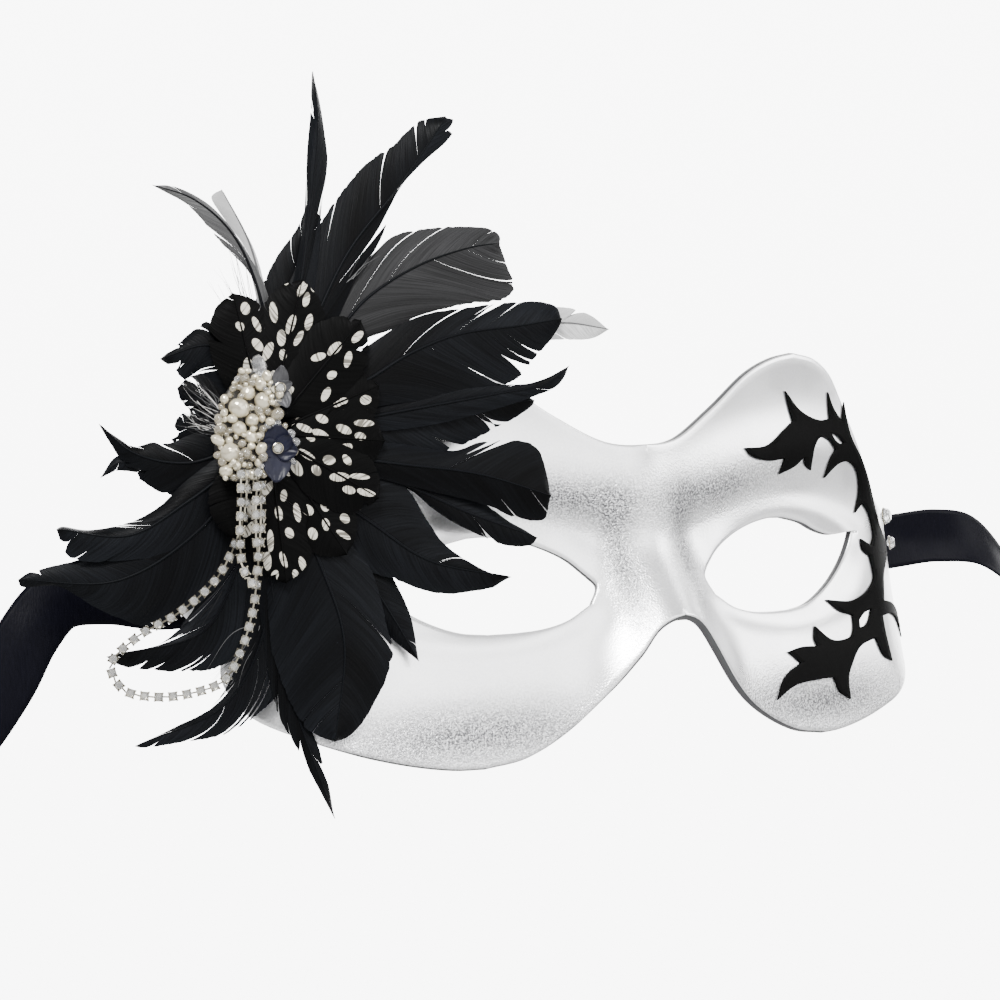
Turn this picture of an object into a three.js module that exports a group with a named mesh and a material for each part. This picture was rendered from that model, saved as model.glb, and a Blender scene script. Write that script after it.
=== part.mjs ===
// Venetian eye mask with a feather fan, brooch, cup chains and tie ribbons.
// Millimetres, +Z up, the face looks along -Y. The origin is on the inside of the nose bridge.
import * as THREE from 'three';

// ---------- mask shell ----------
const SHELL_THICKNESS = 2.0;
const MASK_SCALE_X = 1.0; // width of the whole mask outline
const MASK_SCALE_Z = 1.0; // height of the whole mask outline
const TEMPLE_SLOPE = 0.267; // how fast the cheeks fall back from the nose
const WRAP_REACH = 33.7; // half width of the flat front
const TAB_START = 70; // half width at which the temples turn in
const TAB_TURN = 0.03;
const NOSE_WIDTH = 9.07;
const NOSE_RISE_TOP = 2.0;
const NOSE_SPREAD = 0.53; // how fast the nose comes forward below the bridge
const NOSE_BREAK_Z = 6.4;
const NOSE_SOFTNESS = 3;
const LEVEL_Z = 9.3; // height of the deepest line of the profile
const LEVEL_DEPTH = 3.77;
const LEVEL_CURVE = 0.00229;
const RADIAL_STEPS = 6;
const CENTRE_STEPS = 8;
const CROWN_STEPS = 11;
const TEMPLE_STEPS = 16;
const CHEEK_STEPS = 14;
const MUZZLE_STEPS = 13;

// Half outline of the mask, from the dip of the brow round the temple to the nose arch.
const BROW_DIP = [0, 28.5];
const CROWN = [BROW_DIP, [9, 29.4], [20.6, 35.4], [32.9, 43.1], [41, 46], [48, 47.1]];
const TEMPLE = [
  [48, 47.1], [55.2, 45.8], [60.6, 42.6], [64.2, 37.5], [69.9, 26.5],
  [76.5, 14.8], [84, 11.6], [91.5, 10.2], [95.5, 5.5],
];
const CHEEK = [
  [95.5, 5.5], [93, 0], [89.8, -5], [90, -13], [87, -20.5], [78, -27], [64.8, -32], [52, -34.8],
  [45, -35.2],
];
const NOSE_ARCH = [0, -8.1];
const MUZZLE = [[45, -35.2], [35.3, -33.8], [24.4, -28.6], [16, -21.6], [10.6, -15.6], [5.4, -9.8], NOSE_ARCH];

// Eye hole, upper lid from the inner corner outwards, then the lower lid back again.
const EYE_INNER_LOW = [16.6, -3.8];
const EYE_INNER_HIGH = [16.2, 2.2];
const EYE_INNER = [EYE_INNER_LOW, [14.7, 0], EYE_INNER_HIGH];
const EYE_LID = [EYE_INNER_HIGH, [20, 5.7], [25.4, 8.6], [31.6, 10.7], [37.5, 11.7], [42, 11.7]];
const EYE_OUTER = [[42, 11.7], [48.3, 10.4], [53.1, 8.5], [58.1, 7.4], [65.2, 8.0]];
const EYE_UNDER = [[65.2, 8.0], [62.2, 2.9], [57.6, -1.5], [52, -5], [46, -7.4], [40, -8.3]];
const EYE_BACK = [[40, -8.3], [33, -8.4], [27, -8], [21.4, -6.6], EYE_INNER_LOW];

// ---------- feather fan ----------
const FAN_TURN = 24; // degrees the fan faces towards the temple
const FAN_CENTRE = new THREE.Vector3(-84.4 * MASK_SCALE_X, 15.8, 35.4 * MASK_SCALE_Z);
const FAN_SIZE = 1.0;
const FAN_BOWL = 4.5; // how far the fan falls back at FAN_BOWL_RADIUS
const FAN_BOWL_RADIUS = 60;
const LEVEL_PITCH = 1.0;
const FEATHER_THICKNESS = 0.6;
const FEATHER_STEPS = 11;
const QUILL_WIDTH = 1.0;
const ROOT_RADIUS = 6;

// ---------- brooch ----------
const PAD_THICKNESS = 2.2;
const PAD_SIZE = [11, 15];
const PAD_DROP = 0.7; // felt surface below the lowest quills
const PLATE_LEVEL = 6.2;
const PLATE_THICKNESS = 0.8;
const PLATE_SIZE = [6.2, 11.6];
const PLATE_CENTRE = [-4.1, 1.9];
const PLATE_LEAN = -18;
const STONE_CLEARANCE = 0.12;
const FLOWER_THICKNESS = 0.4;
const FLOWER_LIFT = 1.5;
const RHINESTONE_RADIUS = 1.1;
const RHINESTONE_HEIGHT = 0.9;

// ---------- chains, ribbons, trim ----------
const CHAIN_DIAMETER = 2.3;
const CHAIN_LEVEL = 8.6;
const SHORT_CHAIN_LEVEL = 11.4;
const CHAIN_SIDES = 8;
const RIBBON_WIDTH = 12.5;
const RIBBON_THICKNESS = 0.5;
const RIBBON_STEPS = 40;
const RIBBON_LENGTH = 300;
const RIBBON_GAP = 0.35;
const TRIM_THICKNESS = 0.5;
const TRIM_GAP = 0.35;
const TRIM_STEP = 3.2;
const CRYSTAL_GAP = 0.25;

const RADIANS = Math.PI / 180;

const LOOKS = {
  silver: { color: 0xd9d9dc, roughness: 0.35, metalness: 0.6 },
  black: { color: 0x101012, roughness: 0.6, metalness: 0 },
  feather: { color: 0x0d0d10, roughness: 0.7, metalness: 0 },
  grey: { color: 0x55565a, roughness: 0.7, metalness: 0 },
  spotted: { color: 0x2a2a28, roughness: 0.7, metalness: 0 },
  felt: { color: 0x18181a, roughness: 0.95, metalness: 0 },
  pearl: { color: 0xe9e2cf, roughness: 0.2, metalness: 0.1 },
  crystal: { color: 0xeef2f4, roughness: 0.05, metalness: 0 },
  metal: { color: 0xb9bbc0, roughness: 0.25, metalness: 0.9 },
  navy: { color: 0x20233a, roughness: 0.35, metalness: 0.1 },
  smoke: { color: 0x54555c, roughness: 0.35, metalness: 0.1 },
  satin: { color: 0x0c0c10, roughness: 0.4, metalness: 0 },
};

function named(name, look, geometry) {
  const mesh = new THREE.Mesh(geometry, new THREE.MeshStandardMaterial(LOOKS[look]));
  mesh.name = name;
  mesh.material.name = look;
  return mesh;
}

function solid(points, faces) {
  const geometry = new THREE.BufferGeometry();
  geometry.setAttribute('position', new THREE.Float32BufferAttribute(points.flatMap((p) => [p.x, p.y, p.z]), 3));
  geometry.setIndex(faces.flat());
  geometry.computeVertexNormals();
  return geometry;
}

// ---------- the mask surface ----------
function noseRise(z) {
  const below = (NOSE_BREAK_Z - z) / NOSE_SOFTNESS;
  return NOSE_RISE_TOP + NOSE_SPREAD * NOSE_SOFTNESS * Math.log1p(Math.exp(below));
}

function depth(x, z) {
  const wrap = TEMPLE_SLOPE * WRAP_REACH * (Math.hypot(1, x / WRAP_REACH) - 1);
  const turn = TAB_TURN * Math.max(0, Math.abs(x) - TAB_START) ** 2;
  const nose = noseRise(z) * Math.exp(-((x / NOSE_WIDTH) ** 2) / 2);
  return wrap + turn - nose + LEVEL_DEPTH - LEVEL_CURVE * (z - LEVEL_Z) ** 2;
}

// A point above the mask surface, measured along its outward normal. x and z are outline sizes, before scaling.
function skin(x, z, above) {
  const probe = 0.05;
  const slopeX = (depth(x + probe, z) - depth(x - probe, z)) / (2 * probe * MASK_SCALE_X);
  const slopeZ = (depth(x, z + probe) - depth(x, z - probe)) / (2 * probe * MASK_SCALE_Z);
  const out = new THREE.Vector3(slopeX, -1, slopeZ).normalize();
  return new THREE.Vector3(x * MASK_SCALE_X, depth(x, z), z * MASK_SCALE_Z).addScaledVector(out, above);
}

function spline(points, count) {
  const path = new THREE.CatmullRomCurve3(points.map(([x, z]) => new THREE.Vector3(x, 0, z)), false, 'centripetal');
  return path.getSpacedPoints(count).slice(0, count).map((p) => [p.x, p.z]);
}

function halfRings() {
  const centre = [NOSE_ARCH, BROW_DIP];
  const outer = [
    ...spline(centre, CENTRE_STEPS), ...spline(CROWN, CROWN_STEPS), ...spline(TEMPLE, TEMPLE_STEPS),
    ...spline(CHEEK, CHEEK_STEPS), ...spline(MUZZLE, MUZZLE_STEPS),
  ];
  const inner = [
    ...spline(EYE_INNER, CENTRE_STEPS), ...spline(EYE_LID, CROWN_STEPS), ...spline(EYE_OUTER, TEMPLE_STEPS),
    ...spline(EYE_UNDER, CHEEK_STEPS), ...spline(EYE_BACK, MUZZLE_STEPS),
  ];
  return { outer, inner };
}

// Both halves are rings round an eye hole. They share the points of the centre line.
function maskShell() {
  const { outer, inner } = halfRings();
  const around = outer.length;
  const points = [];
  const faces = [];
  const index = [];
  const put = (x, z) => {
    points.push(skin(x, z, 0), skin(x, z, -SHELL_THICKNESS));
    return points.length - 2;
  };
  for (const side of [1, -1]) {
    const grid = [];
    for (let ring = 0; ring <= RADIAL_STEPS; ring++) {
      const part = ring / RADIAL_STEPS;
      const row = [];
      for (let i = 0; i < around; i++) {
        const shared = side < 0 && ring === RADIAL_STEPS && i <= CENTRE_STEPS;
        const x = inner[i][0] + (outer[i][0] - inner[i][0]) * part;
        const z = inner[i][1] + (outer[i][1] - inner[i][1]) * part;
        row.push(shared ? index[0][ring][i] : put(side * x, z));
      }
      grid.push(row);
    }
    index.push(grid);
    const quad = (a, b, c, d) => {
      const turned = side > 0 ? [a, b, c, d] : [a, d, c, b];
      faces.push([turned[0], turned[1], turned[2]], [turned[0], turned[2], turned[3]]);
    };
    for (let ring = 0; ring < RADIAL_STEPS; ring++) {
      for (let i = 0; i < around; i++) {
        const j = (i + 1) % around;
        const [a, b, c, d] = [grid[ring][i], grid[ring][j], grid[ring + 1][j], grid[ring + 1][i]];
        quad(a, b, c, d);
        quad(a + 1, d + 1, c + 1, b + 1);
      }
    }
    for (let i = 0; i < around; i++) {
      const j = (i + 1) % around;
      quad(grid[0][j], grid[0][i], grid[0][i] + 1, grid[0][j] + 1);
      if (i >= CENTRE_STEPS) {
        const rim = grid[RADIAL_STEPS];
        quad(rim[i], rim[j], rim[j] + 1, rim[i] + 1);
      }
    }
  }
  return named('mask_shell', 'silver', solid(points, faces));
}

// ---------- the fan plane ----------
const FAN_OUT = new THREE.Vector3(-Math.sin(FAN_TURN * RADIANS), -Math.cos(FAN_TURN * RADIANS), 0);
const FAN_ACROSS = new THREE.Vector3(Math.cos(FAN_TURN * RADIANS), -Math.sin(FAN_TURN * RADIANS), 0);

// across and up lie in the fan, out stands in front of it.
function fan(across, up, out) {
  const reach = across * across + up * up;
  const fall = (2 * FAN_BOWL * reach) / ((FAN_BOWL_RADIUS * FAN_SIZE) ** 2 + reach);
  return FAN_CENTRE.clone()
    .addScaledVector(FAN_ACROSS, across)
    .addScaledVector(FAN_OUT, out - fall)
    .add(new THREE.Vector3(0, 0, up));
}

function polar(angle, radius) {
  return new THREE.Vector2(Math.cos(angle * RADIANS), Math.sin(angle * RADIANS)).multiplyScalar(radius);
}

const TIPS = {
  spike: (s) => Math.min(1, 0.25 + 1.9 * s) * (1 - s ** 1.6) ** 0.9,
  round: (s) => Math.min(1, 0.2 + 1.6 * s) * (1 - s ** 5) ** 0.6,
  blunt: (s) => Math.min(1, 0.2 + 1.3 * s) * (1 - 0.75 * s ** 14),
};

// A flat quill and vane: four-sided section, thickest along the middle.
function feather(name, look, { root, tip, width, shape, level, lead = 16 }) {
  const start = polar(root, ROOT_RADIUS * FAN_SIZE);
  const bend = polar(root, (ROOT_RADIUS + lead) * FAN_SIZE);
  const end = polar(tip[0], tip[1] * FAN_SIZE);
  const path = new THREE.QuadraticBezierCurve(start, bend, end);
  const points = [];
  const faces = [];
  const middle = level * LEVEL_PITCH;
  for (let i = 0; i <= FEATHER_STEPS; i++) {
    const s = i / FEATHER_STEPS;
    const here = path.getPoint(s);
    const along = path.getTangent(s);
    const half = FAN_SIZE * Math.max(QUILL_WIDTH, width * TIPS[shape](s)) / 2;
    const thick = FEATHER_THICKNESS / 2 * (1 - 0.5 * s);
    points.push(fan(here.x - along.y * half, here.y + along.x * half, middle));
    points.push(fan(here.x, here.y, middle + thick));
    points.push(fan(here.x + along.y * half, here.y - along.x * half, middle));
    points.push(fan(here.x, here.y, middle - thick));
  }
  for (let i = 0; i < FEATHER_STEPS; i++) {
    for (let k = 0; k < 4; k++) {
      const a = 4 * i + k;
      const b = 4 * i + (k + 1) % 4;
      faces.push([a, b, b + 4], [a, b + 4, a + 4]);
    }
  }
  const last = 4 * FEATHER_STEPS;
  faces.push([0, 3, 2], [0, 2, 1], [last, last + 1, last + 2], [last, last + 2, last + 3]);
  return named(name, look, solid(points, faces));
}

// Angles in degrees anticlockwise from the nose side, reach in millimetres from the fan centre.
const PLUMES = [
  ['plume_spike_up', 'feather', { root: 67, tip: [76, 75], width: 7, shape: 'spike', level: 3 }],
  ['plume_broad_up', 'feather', { root: 62, tip: [56, 76], width: 15, shape: 'blunt', level: 2 }],
  ['plume_back_up', 'feather', { root: 72, tip: [71, 53], width: 17, shape: 'round', level: 0 }],
  ['plume_grey_arch', 'grey', { root: 52, tip: [28, 63], width: 19, shape: 'round', level: 1, lead: 42 }],
  ['plume_brow_upper', 'feather', { root: 20, tip: [17, 68], width: 15, shape: 'blunt', level: 3 }],
  ['plume_pale_tip', 'grey', { root: 13, tip: [12, 77], width: 8, shape: 'spike', level: 1 }],
  ['plume_curved_spike', 'feather', { root: 2, tip: [8, 66], width: 6, shape: 'spike', level: 2, lead: 30 }],
  ['plume_brow_blunt', 'feather', { root: -2, tip: [1, 57], width: 9, shape: 'blunt', level: 0 }],
  ['plume_brow_lower', 'feather', { root: -11, tip: [-16, 60], width: 16, shape: 'blunt', level: 3 }],
  ['plume_brow_under', 'feather', { root: -24, tip: [-25, 60], width: 9, shape: 'spike', level: 1 }],
  ['plume_cheek_wide', 'feather', { root: -42, tip: [-35, 57], width: 14, shape: 'spike', level: 2 }],
  ['plume_cheek_spike', 'feather', { root: -54, tip: [-60, 55], width: 9, shape: 'spike', level: 0 }],
  ['plume_down_round', 'feather', { root: -68, tip: [-76, 61], width: 18, shape: 'round', level: 3 }],
  ['plume_down_spike', 'feather', { root: -86, tip: [-84, 78], width: 6, shape: 'spike', level: 2 }],
  ['plume_down_frayed', 'feather', { root: -97, tip: [-118, 66], width: 13, shape: 'blunt', level: 1, lead: 34 }],
  ['plume_left_frayed', 'feather', { root: -116, tip: [-129, 55], width: 9, shape: 'spike', level: 0 }],
  ['plume_left_wide', 'feather', { root: -142, tip: [-153, 57], width: 16, shape: 'round', level: 3, lead: 22 }],
  ['plume_left_hooked', 'feather', { root: 178, tip: [170, 34], width: 9, shape: 'spike', level: 1 }],
  ['plume_left_short', 'feather', { root: -172, tip: [-169, 34], width: 8, shape: 'spike', level: 2 }],
  ['plume_upper_left', 'feather', { root: 122, tip: [133, 28], width: 14, shape: 'round', level: 3 }],
  ['plume_grey_curl', 'grey', { root: 86, tip: [108, 55], width: 5, shape: 'spike', level: 3, lead: 26 }],
];
const GUINEA_COUNT = 9;
const GUINEA_START = 98;
const GUINEA_SPREAD = 26.5;
const GUINEA_REACH = [29, 32, 30, 25, 24, 26, 29, 30, 22];
const GUINEA_WIDTH = 11;
const GUINEA_LEVEL = 4;

function featherFan() {
  const plumes = PLUMES.map(([name, look, shape]) => feather(name, look, shape));
  for (let i = 0; i < GUINEA_COUNT; i++) {
    const angle = GUINEA_START - GUINEA_SPREAD * i;
    const size = { root: angle, tip: [angle, GUINEA_REACH[i]], width: GUINEA_WIDTH, shape: 'round', lead: 8 };
    plumes.push(feather(`spotted_feather_${i + 1}`, 'spotted', { ...size, level: GUINEA_LEVEL + i % 2 }));
  }
  return plumes;
}

// ---------- flat parts lying in the fan ----------
function slab(outline, bottom, top) {
  const count = outline.length;
  const points = [];
  const faces = [];
  const centre = outline.reduce((sum, p) => sum.add(p), new THREE.Vector2()).divideScalar(count);
  for (const p of outline) {
    points.push(fan(p.x, p.y, bottom), fan(p.x, p.y, top));
  }
  points.push(fan(centre.x, centre.y, bottom), fan(centre.x, centre.y, top));
  for (let i = 0; i < count; i++) {
    const a = 2 * i;
    const b = 2 * ((i + 1) % count);
    faces.push([a, b, b + 1], [a, b + 1, a + 1]);
    faces.push([a + 1, b + 1, 2 * count + 1], [b, a, 2 * count]);
  }
  return solid(points, faces);
}

function oval(centre, [wide, tall], lean, count) {
  return Array.from({ length: count }, (_, i) => {
    const turn = (i / count) * 2 * Math.PI;
    const p = new THREE.Vector2(wide * Math.cos(turn), tall * Math.sin(turn));
    return p.rotateAround(new THREE.Vector2(), lean * RADIANS).add(new THREE.Vector2(...centre));
  });
}

// Petals are lobes of a polar outline round the middle stone.
function petals(centre, lobes) {
  const outline = [];
  for (const [angle, reach, spread] of lobes) {
    outline.push(polar(angle - spread, reach * 0.5), polar(angle - spread * 0.75, reach * 0.88), polar(angle, reach));
    outline.push(polar(angle + spread * 0.75, reach * 0.88), polar(angle + spread, reach * 0.5));
  }
  return outline.map((p) => p.add(new THREE.Vector2(...centre)));
}

function ball(name, look, [across, up], [wide, tall], level) {
  const geometry = new THREE.SphereGeometry(1, 14, 9);
  geometry.scale(wide, wide, tall);
  const at = fan(across, up, level + wide);
  geometry.translate(at.x, at.y, at.z);
  return named(name, look, geometry);
}

function stone(name, at, out, radius, height) {
  const girdle = 8;
  const points = [];
  const faces = [];
  const side = new THREE.Vector3(0, 0, 1).cross(out).normalize();
  const up = out.clone().cross(side);
  for (const [share, rise] of [[0.75, 0], [1, 0.35], [0.55, 1]]) {
    for (let i = 0; i < girdle; i++) {
      const turn = ((i + 0.5) / girdle) * 2 * Math.PI;
      const p = at.clone().addScaledVector(side, radius * share * Math.cos(turn));
      points.push(p.addScaledVector(up, radius * share * Math.sin(turn)).addScaledVector(out, height * rise));
    }
  }
  points.push(at.clone(), at.clone().addScaledVector(out, height));
  for (let i = 0; i < girdle; i++) {
    const j = (i + 1) % girdle;
    for (const row of [0, girdle]) {
      faces.push([row + i, row + j, row + girdle + j], [row + i, row + girdle + j, row + girdle + i]);
    }
    faces.push([j, i, 3 * girdle], [2 * girdle + i, 2 * girdle + j, 3 * girdle + 1]);
  }
  return named(name, 'crystal', solid(points, faces));
}

const PLATE_TOP = PLATE_LEVEL + PLATE_THICKNESS;
const PEARLS = [
  [[-0.9, 9.65], 1.3], [[-3.6, 8.1], 1.5], [[-5.7, 5.2], 2.05], [[-0.8, 6.3], 1.65],
  [[-3.3, 2.6], 1.4], [[-6, 1.2], 1.5], [[-3.8, -0.6], 1.35], [[-8.3, -3.4], 1.95], [[-9.3, -7], 1.4],
];
const CLEAR_BEADS = [[[-4.2, 11.1], 1.3], [[1.9, 3.4], 1.4], [[-9.6, 1.4], 1.3], [[-5, -3.8], 1.2]];
const TOP_BEAD = [-0.8, 13.3];
const TOP_BEAD_SIZE = [1.5, 2];
const NAVY_CENTRE = [1.2, -3.4];
const NAVY_PETALS = [[85, 4.3, 34], [170, 3.2, 34], [262, 6.4, 38], [345, 3.6, 34]];
const SMOKY_CENTRE = [2.8, 8.5];
const SMOKY_PETALS = [[80, 4.2, 30], [195, 1.7, 50], [285, 3.9, 32]];

function brooch() {
  const plate = oval(PLATE_CENTRE, PLATE_SIZE, PLATE_LEAN, 28);
  const seat = PLATE_TOP + STONE_CLEARANCE;
  const parts = [named('brooch_plate', 'metal', slab(plate, PLATE_LEVEL, PLATE_TOP))];
  PEARLS.forEach(([at, r], i) => parts.push(ball(`pearl_${i + 1}`, 'pearl', at, [r, r], seat)));
  CLEAR_BEADS.forEach(([at, r], i) => parts.push(ball(`clear_bead_${i + 1}`, 'crystal', at, [r, r], seat)));
  parts.push(ball('top_bead', 'crystal', TOP_BEAD, TOP_BEAD_SIZE, seat));
  for (const [name, look, centre, lobes] of [
    ['navy_flower', 'navy', NAVY_CENTRE, NAVY_PETALS], ['smoky_flower', 'smoke', SMOKY_CENTRE, SMOKY_PETALS],
  ]) {
    const low = PLATE_TOP + FLOWER_LIFT;
    const high = low + FLOWER_THICKNESS;
    parts.push(named(name, look, slab(petals(centre, lobes), low, high)));
    const at = fan(...centre, high + STONE_CLEARANCE);
    parts.push(stone(`${name}_rhinestone`, at, FAN_OUT, RHINESTONE_RADIUS, RHINESTONE_HEIGHT));
  }
  return parts;
}

function feltPad() {
  const top = -PAD_DROP;
  return named('felt_pad', 'felt', slab(oval([0, 0], PAD_SIZE, 0, 28), top - PAD_THICKNESS, top));
}

// ---------- cup chains ----------
function chain(name, stations, level, steps) {
  const path = new THREE.CatmullRomCurve3(stations.map(([across, up]) => fan(across, up, level)));
  const ring = new THREE.Shape();
  for (let i = 0; i <= CHAIN_SIDES; i++) {
    const turn = ((i % CHAIN_SIDES) / CHAIN_SIDES) * 2 * Math.PI;
    const p = new THREE.Vector2(Math.cos(turn), Math.sin(turn)).multiplyScalar(CHAIN_DIAMETER / 2);
    if (i === 0) ring.moveTo(p.x, p.y);
    else ring.lineTo(p.x, p.y);
  }
  return named(name, 'metal', new THREE.ExtrudeGeometry(ring, { steps, extrudePath: path, bevelEnabled: false }));
}

const LONG_CHAIN = [
  [-5.2, -8], [-6, -14], [-8, -20], [-13, -28], [-21, -34], [-29.5, -38], [-35, -43], [-33, -48],
  [-27, -50], [-20, -50], [-13, -48], [-9, -42], [-6.3, -35], [-4.5, -26], [-3.2, -17], [-2.6, -10.4],
];
const SHORT_CHAIN = [
  [-3.4, -8], [-4.2, -13], [-4.8, -20], [-5, -26.5], [-6.4, -29.5], [-7.9, -26.5], [-8, -20],
  [-7.2, -13], [-6.8, -8],
];

// ---------- ribbons ----------
// A flat strip that leaves the temple level, turns over and hangs down.
function ribbon(name, stations) {
  const route = new THREE.CatmullRomCurve3(stations.map((p) => new THREE.Vector3(...p)), false, 'centripetal');
  const reach = Math.min(1, RIBBON_LENGTH / route.getLength());
  const points = [];
  const faces = [];
  for (let i = 0; i <= RIBBON_STEPS; i++) {
    const s = (i / RIBBON_STEPS) * reach;
    const along = route.getTangentAt(s);
    const flat = new THREE.Vector3(0, 0, 1).cross(new THREE.Vector3().subVectors(route.getPointAt(1), route.getPointAt(0)));
    flat.normalize();
    const edge = along.clone().cross(flat).normalize();
    const turn = THREE.MathUtils.smoothstep(s, 0.12, 0.5) * 80 * RADIANS;
    const wide = edge.multiplyScalar(Math.cos(turn)).addScaledVector(flat, Math.sin(turn)).normalize();
    const thin = along.clone().cross(wide).normalize();
    for (const [w, t] of [[-0.5, -0.5], [0.5, -0.5], [0.5, 0.5], [-0.5, 0.5]]) {
      const p = route.getPointAt(s).addScaledVector(wide, w * RIBBON_WIDTH);
      points.push(p.addScaledVector(thin, t * RIBBON_THICKNESS));
    }
  }
  for (let i = 0; i < RIBBON_STEPS; i++) {
    for (let k = 0; k < 4; k++) {
      const a = 4 * i + k;
      const b = 4 * i + (k + 1) % 4;
      faces.push([a, b, b + 4], [a, b + 4, a + 4]);
    }
  }
  const last = 4 * RIBBON_STEPS;
  faces.push([0, 2, 1], [0, 3, 2], [last, last + 1, last + 2], [last, last + 2, last + 3]);
  return named(name, 'satin', solid(points, faces));
}

const TEMPLE_Z = 5.3;
const GLUE_X = [84, 90]; // where the ribbon ends lie inside the temples
const TEMPLE_EDGE = 97;

function ribbonRoute(side, free) {
  const inside = -SHELL_THICKNESS - RIBBON_GAP - RIBBON_THICKNESS / 2;
  const glued = GLUE_X.map((x) => skin(side * x, TEMPLE_Z, inside));
  const tip = skin(side * TEMPLE_EDGE, TEMPLE_Z, inside);
  return [...glued, tip, ...free.map(([x, y, z]) => new THREE.Vector3(tip.x + side * x, tip.y + y, tip.z + z))]
    .map((p) => p.toArray());
}

const RIGHT_FALL = [
  [14, 4, 1], [28, 6, 1.5], [42, 7, -1], [54, 7, -14], [59, 6, -40], [60, 5, -95], [59, 5, -280],
];
const LEFT_FALL = [
  [10, 3, 2], [20, 5, 1.5], [27, 6, -5], [32, 7, -13], [38, 8, -21],
  [47, 9, -32], [57, 9, -48], [64, 7, -80], [66, 5, -130], [66, 5, -280],
];

// ---------- black scroll trim and temple crystals ----------
const UPPER_SCROLL = [
  [44.5, 39], [49.5, 34.6], [55.4, 32.6], [59.3, 32.8], [59.4, 38.6], [61.2, 35], [63.8, 32.2], [65, 36.4],
  [66.6, 29], [70.6, 23.2], [73.2, 18.5], [75.2, 13.6], [77, 9.4], [79.6, 6.2], [81.8, 3.2], [70.2, 2.1],
  [67.6, 3.8], [67.6, 6], [71.3, 4.4], [73.1, 6.6], [72.2, 11.2], [70, 14], [67, 11.8], [69, 17],
  [68.2, 21.2], [65.2, 23.2], [61.5, 22.8], [56.4, 19.8],
  [58.4, 23.8], [60.4, 26], [58.4, 28], [55.2, 28.8], [52.8, 26.8], [51.9, 24.4], [51.4, 21.6], [49.3, 22.9],
  [48.9, 24.6], [45.6, 22.6], [40.4, 21], [42, 24.4], [36.6, 24], [31, 25.2], [29.4, 27], [36.5, 27.4],
  [42.8, 30.6], [46.2, 32.4],
];
const UPPER_SLOT = [[59.3, 29.6], [61.2, 29.1], [63.6, 27.4], [62.2, 27.2], [60.4, 28.2]];
const LOWER_SCROLL = [
  [76.2, -2], [81.9, 2.8], [70.4, 1.7], [70.8, -2.8], [68.3, -5.2], [64.5, -6.8], [59.9, -7.6],
  [52.4, -6.9], [55.6, -9.5], [60.8, -10.8],
  [60.3, -13.3], [59, -15.2], [56.2, -15.9], [51.6, -15.8], [46.4, -12.5], [45.5, -15.4], [46, -16.9],
  [40.5, -16.8], [35.9, -17.6], [39.4, -20.2], [33.7, -22.9], [30.2, -27.6], [36.4, -25], [45.5, -24.1],
  [49.8, -24], [51.4, -27.2], [54.8, -29], [55.2, -24.3], [57, -21.7], [61, -18], [67.6, -16.2],
  [69.4, -20.2],
  [72.4, -21.6], [71.8, -15.4], [72, -11.4], [76.6, -11], [81, -12.6], [84.4, -16.4], [83.2, -10.8],
  [78.4, -8.6], [74, -8], [75, -5],
];
const LOWER_SLOT = [[68.2, -9.6], [65, -10.6], [62.8, -12], [62.6, -13.6], [64.9, -13.2], [66.8, -11.8]];

function halved(outline) {
  return outline.flatMap((a, i) => {
    const b = outline[(i + 1) % outline.length];
    const parts = Math.ceil(a.distanceTo(b) / TRIM_STEP);
    return Array.from({ length: parts }, (_, k) => a.clone().lerp(b, k / parts));
  });
}

// Every edge that two triangles share, as [[face, corner], [face, corner]].
function sharedEdges(faces) {
  const owners = new Map();
  faces.forEach((face, f) => face.forEach((a, k) => {
    const b = face[(k + 1) % 3];
    const key = Math.min(a, b) + '_' + Math.max(a, b);
    owners.set(key, [...(owners.get(key) ?? []), [f, k]]);
  }));
  return [...owners.values()].filter((pair) => pair.length === 2);
}

// Splits every inner edge that is longer than limit, both its triangles at once.
function refine(points, faces, limit) {
  for (;;) {
    const inner = sharedEdges(faces);
    const span = ([[f, k]]) => points[faces[f][k]].distanceTo(points[faces[f][(k + 1) % 3]]);
    const longest = inner.reduce((best, pair) => (span(pair) > span(best) ? pair : best), inner[0]);
    if (span(longest) <= limit) return faces;
    const [[f0, k0]] = longest;
    const middle = points[faces[f0][k0]].clone().lerp(points[faces[f0][(k0 + 1) % 3]], 0.5);
    const m = points.push(middle) - 1;
    const split = longest.flatMap(([f, k]) => {
      const [a, b, c] = [faces[f][k], faces[f][(k + 1) % 3], faces[f][(k + 2) % 3]];
      return [[a, m, c], [m, b, c]];
    });
    const gone = new Set(longest.map(([f]) => f));
    faces = fatten(points, [...faces.filter((_, f) => !gone.has(f)), ...split]);
  }
}

// Swaps the edge of two triangles for their other diagonal wherever that makes them less thin.
function fatten(points, faces) {
  const angle = (a, b, c) => points[a].clone().sub(points[b]).angleTo(points[c].clone().sub(points[b]));
  const opposite = ([f, k]) => faces[f][(k + 2) % 3];
  for (;;) {
    const thin = sharedEdges(faces).find((pair) => {
      const [[f, k]] = pair;
      const [a, b] = [faces[f][k], faces[f][(k + 1) % 3]];
      const [c, d] = pair.map(opposite);
      return angle(a, c, b) + angle(a, d, b) > Math.PI + 1e-6;
    });
    if (!thin) return faces;
    const [[f, k], [g]] = thin;
    const [a, b] = [faces[f][k], faces[f][(k + 1) % 3]];
    const [c, d] = thin.map(opposite);
    faces[f] = [a, d, c];
    faces[g] = [d, b, c];
  }
}

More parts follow.
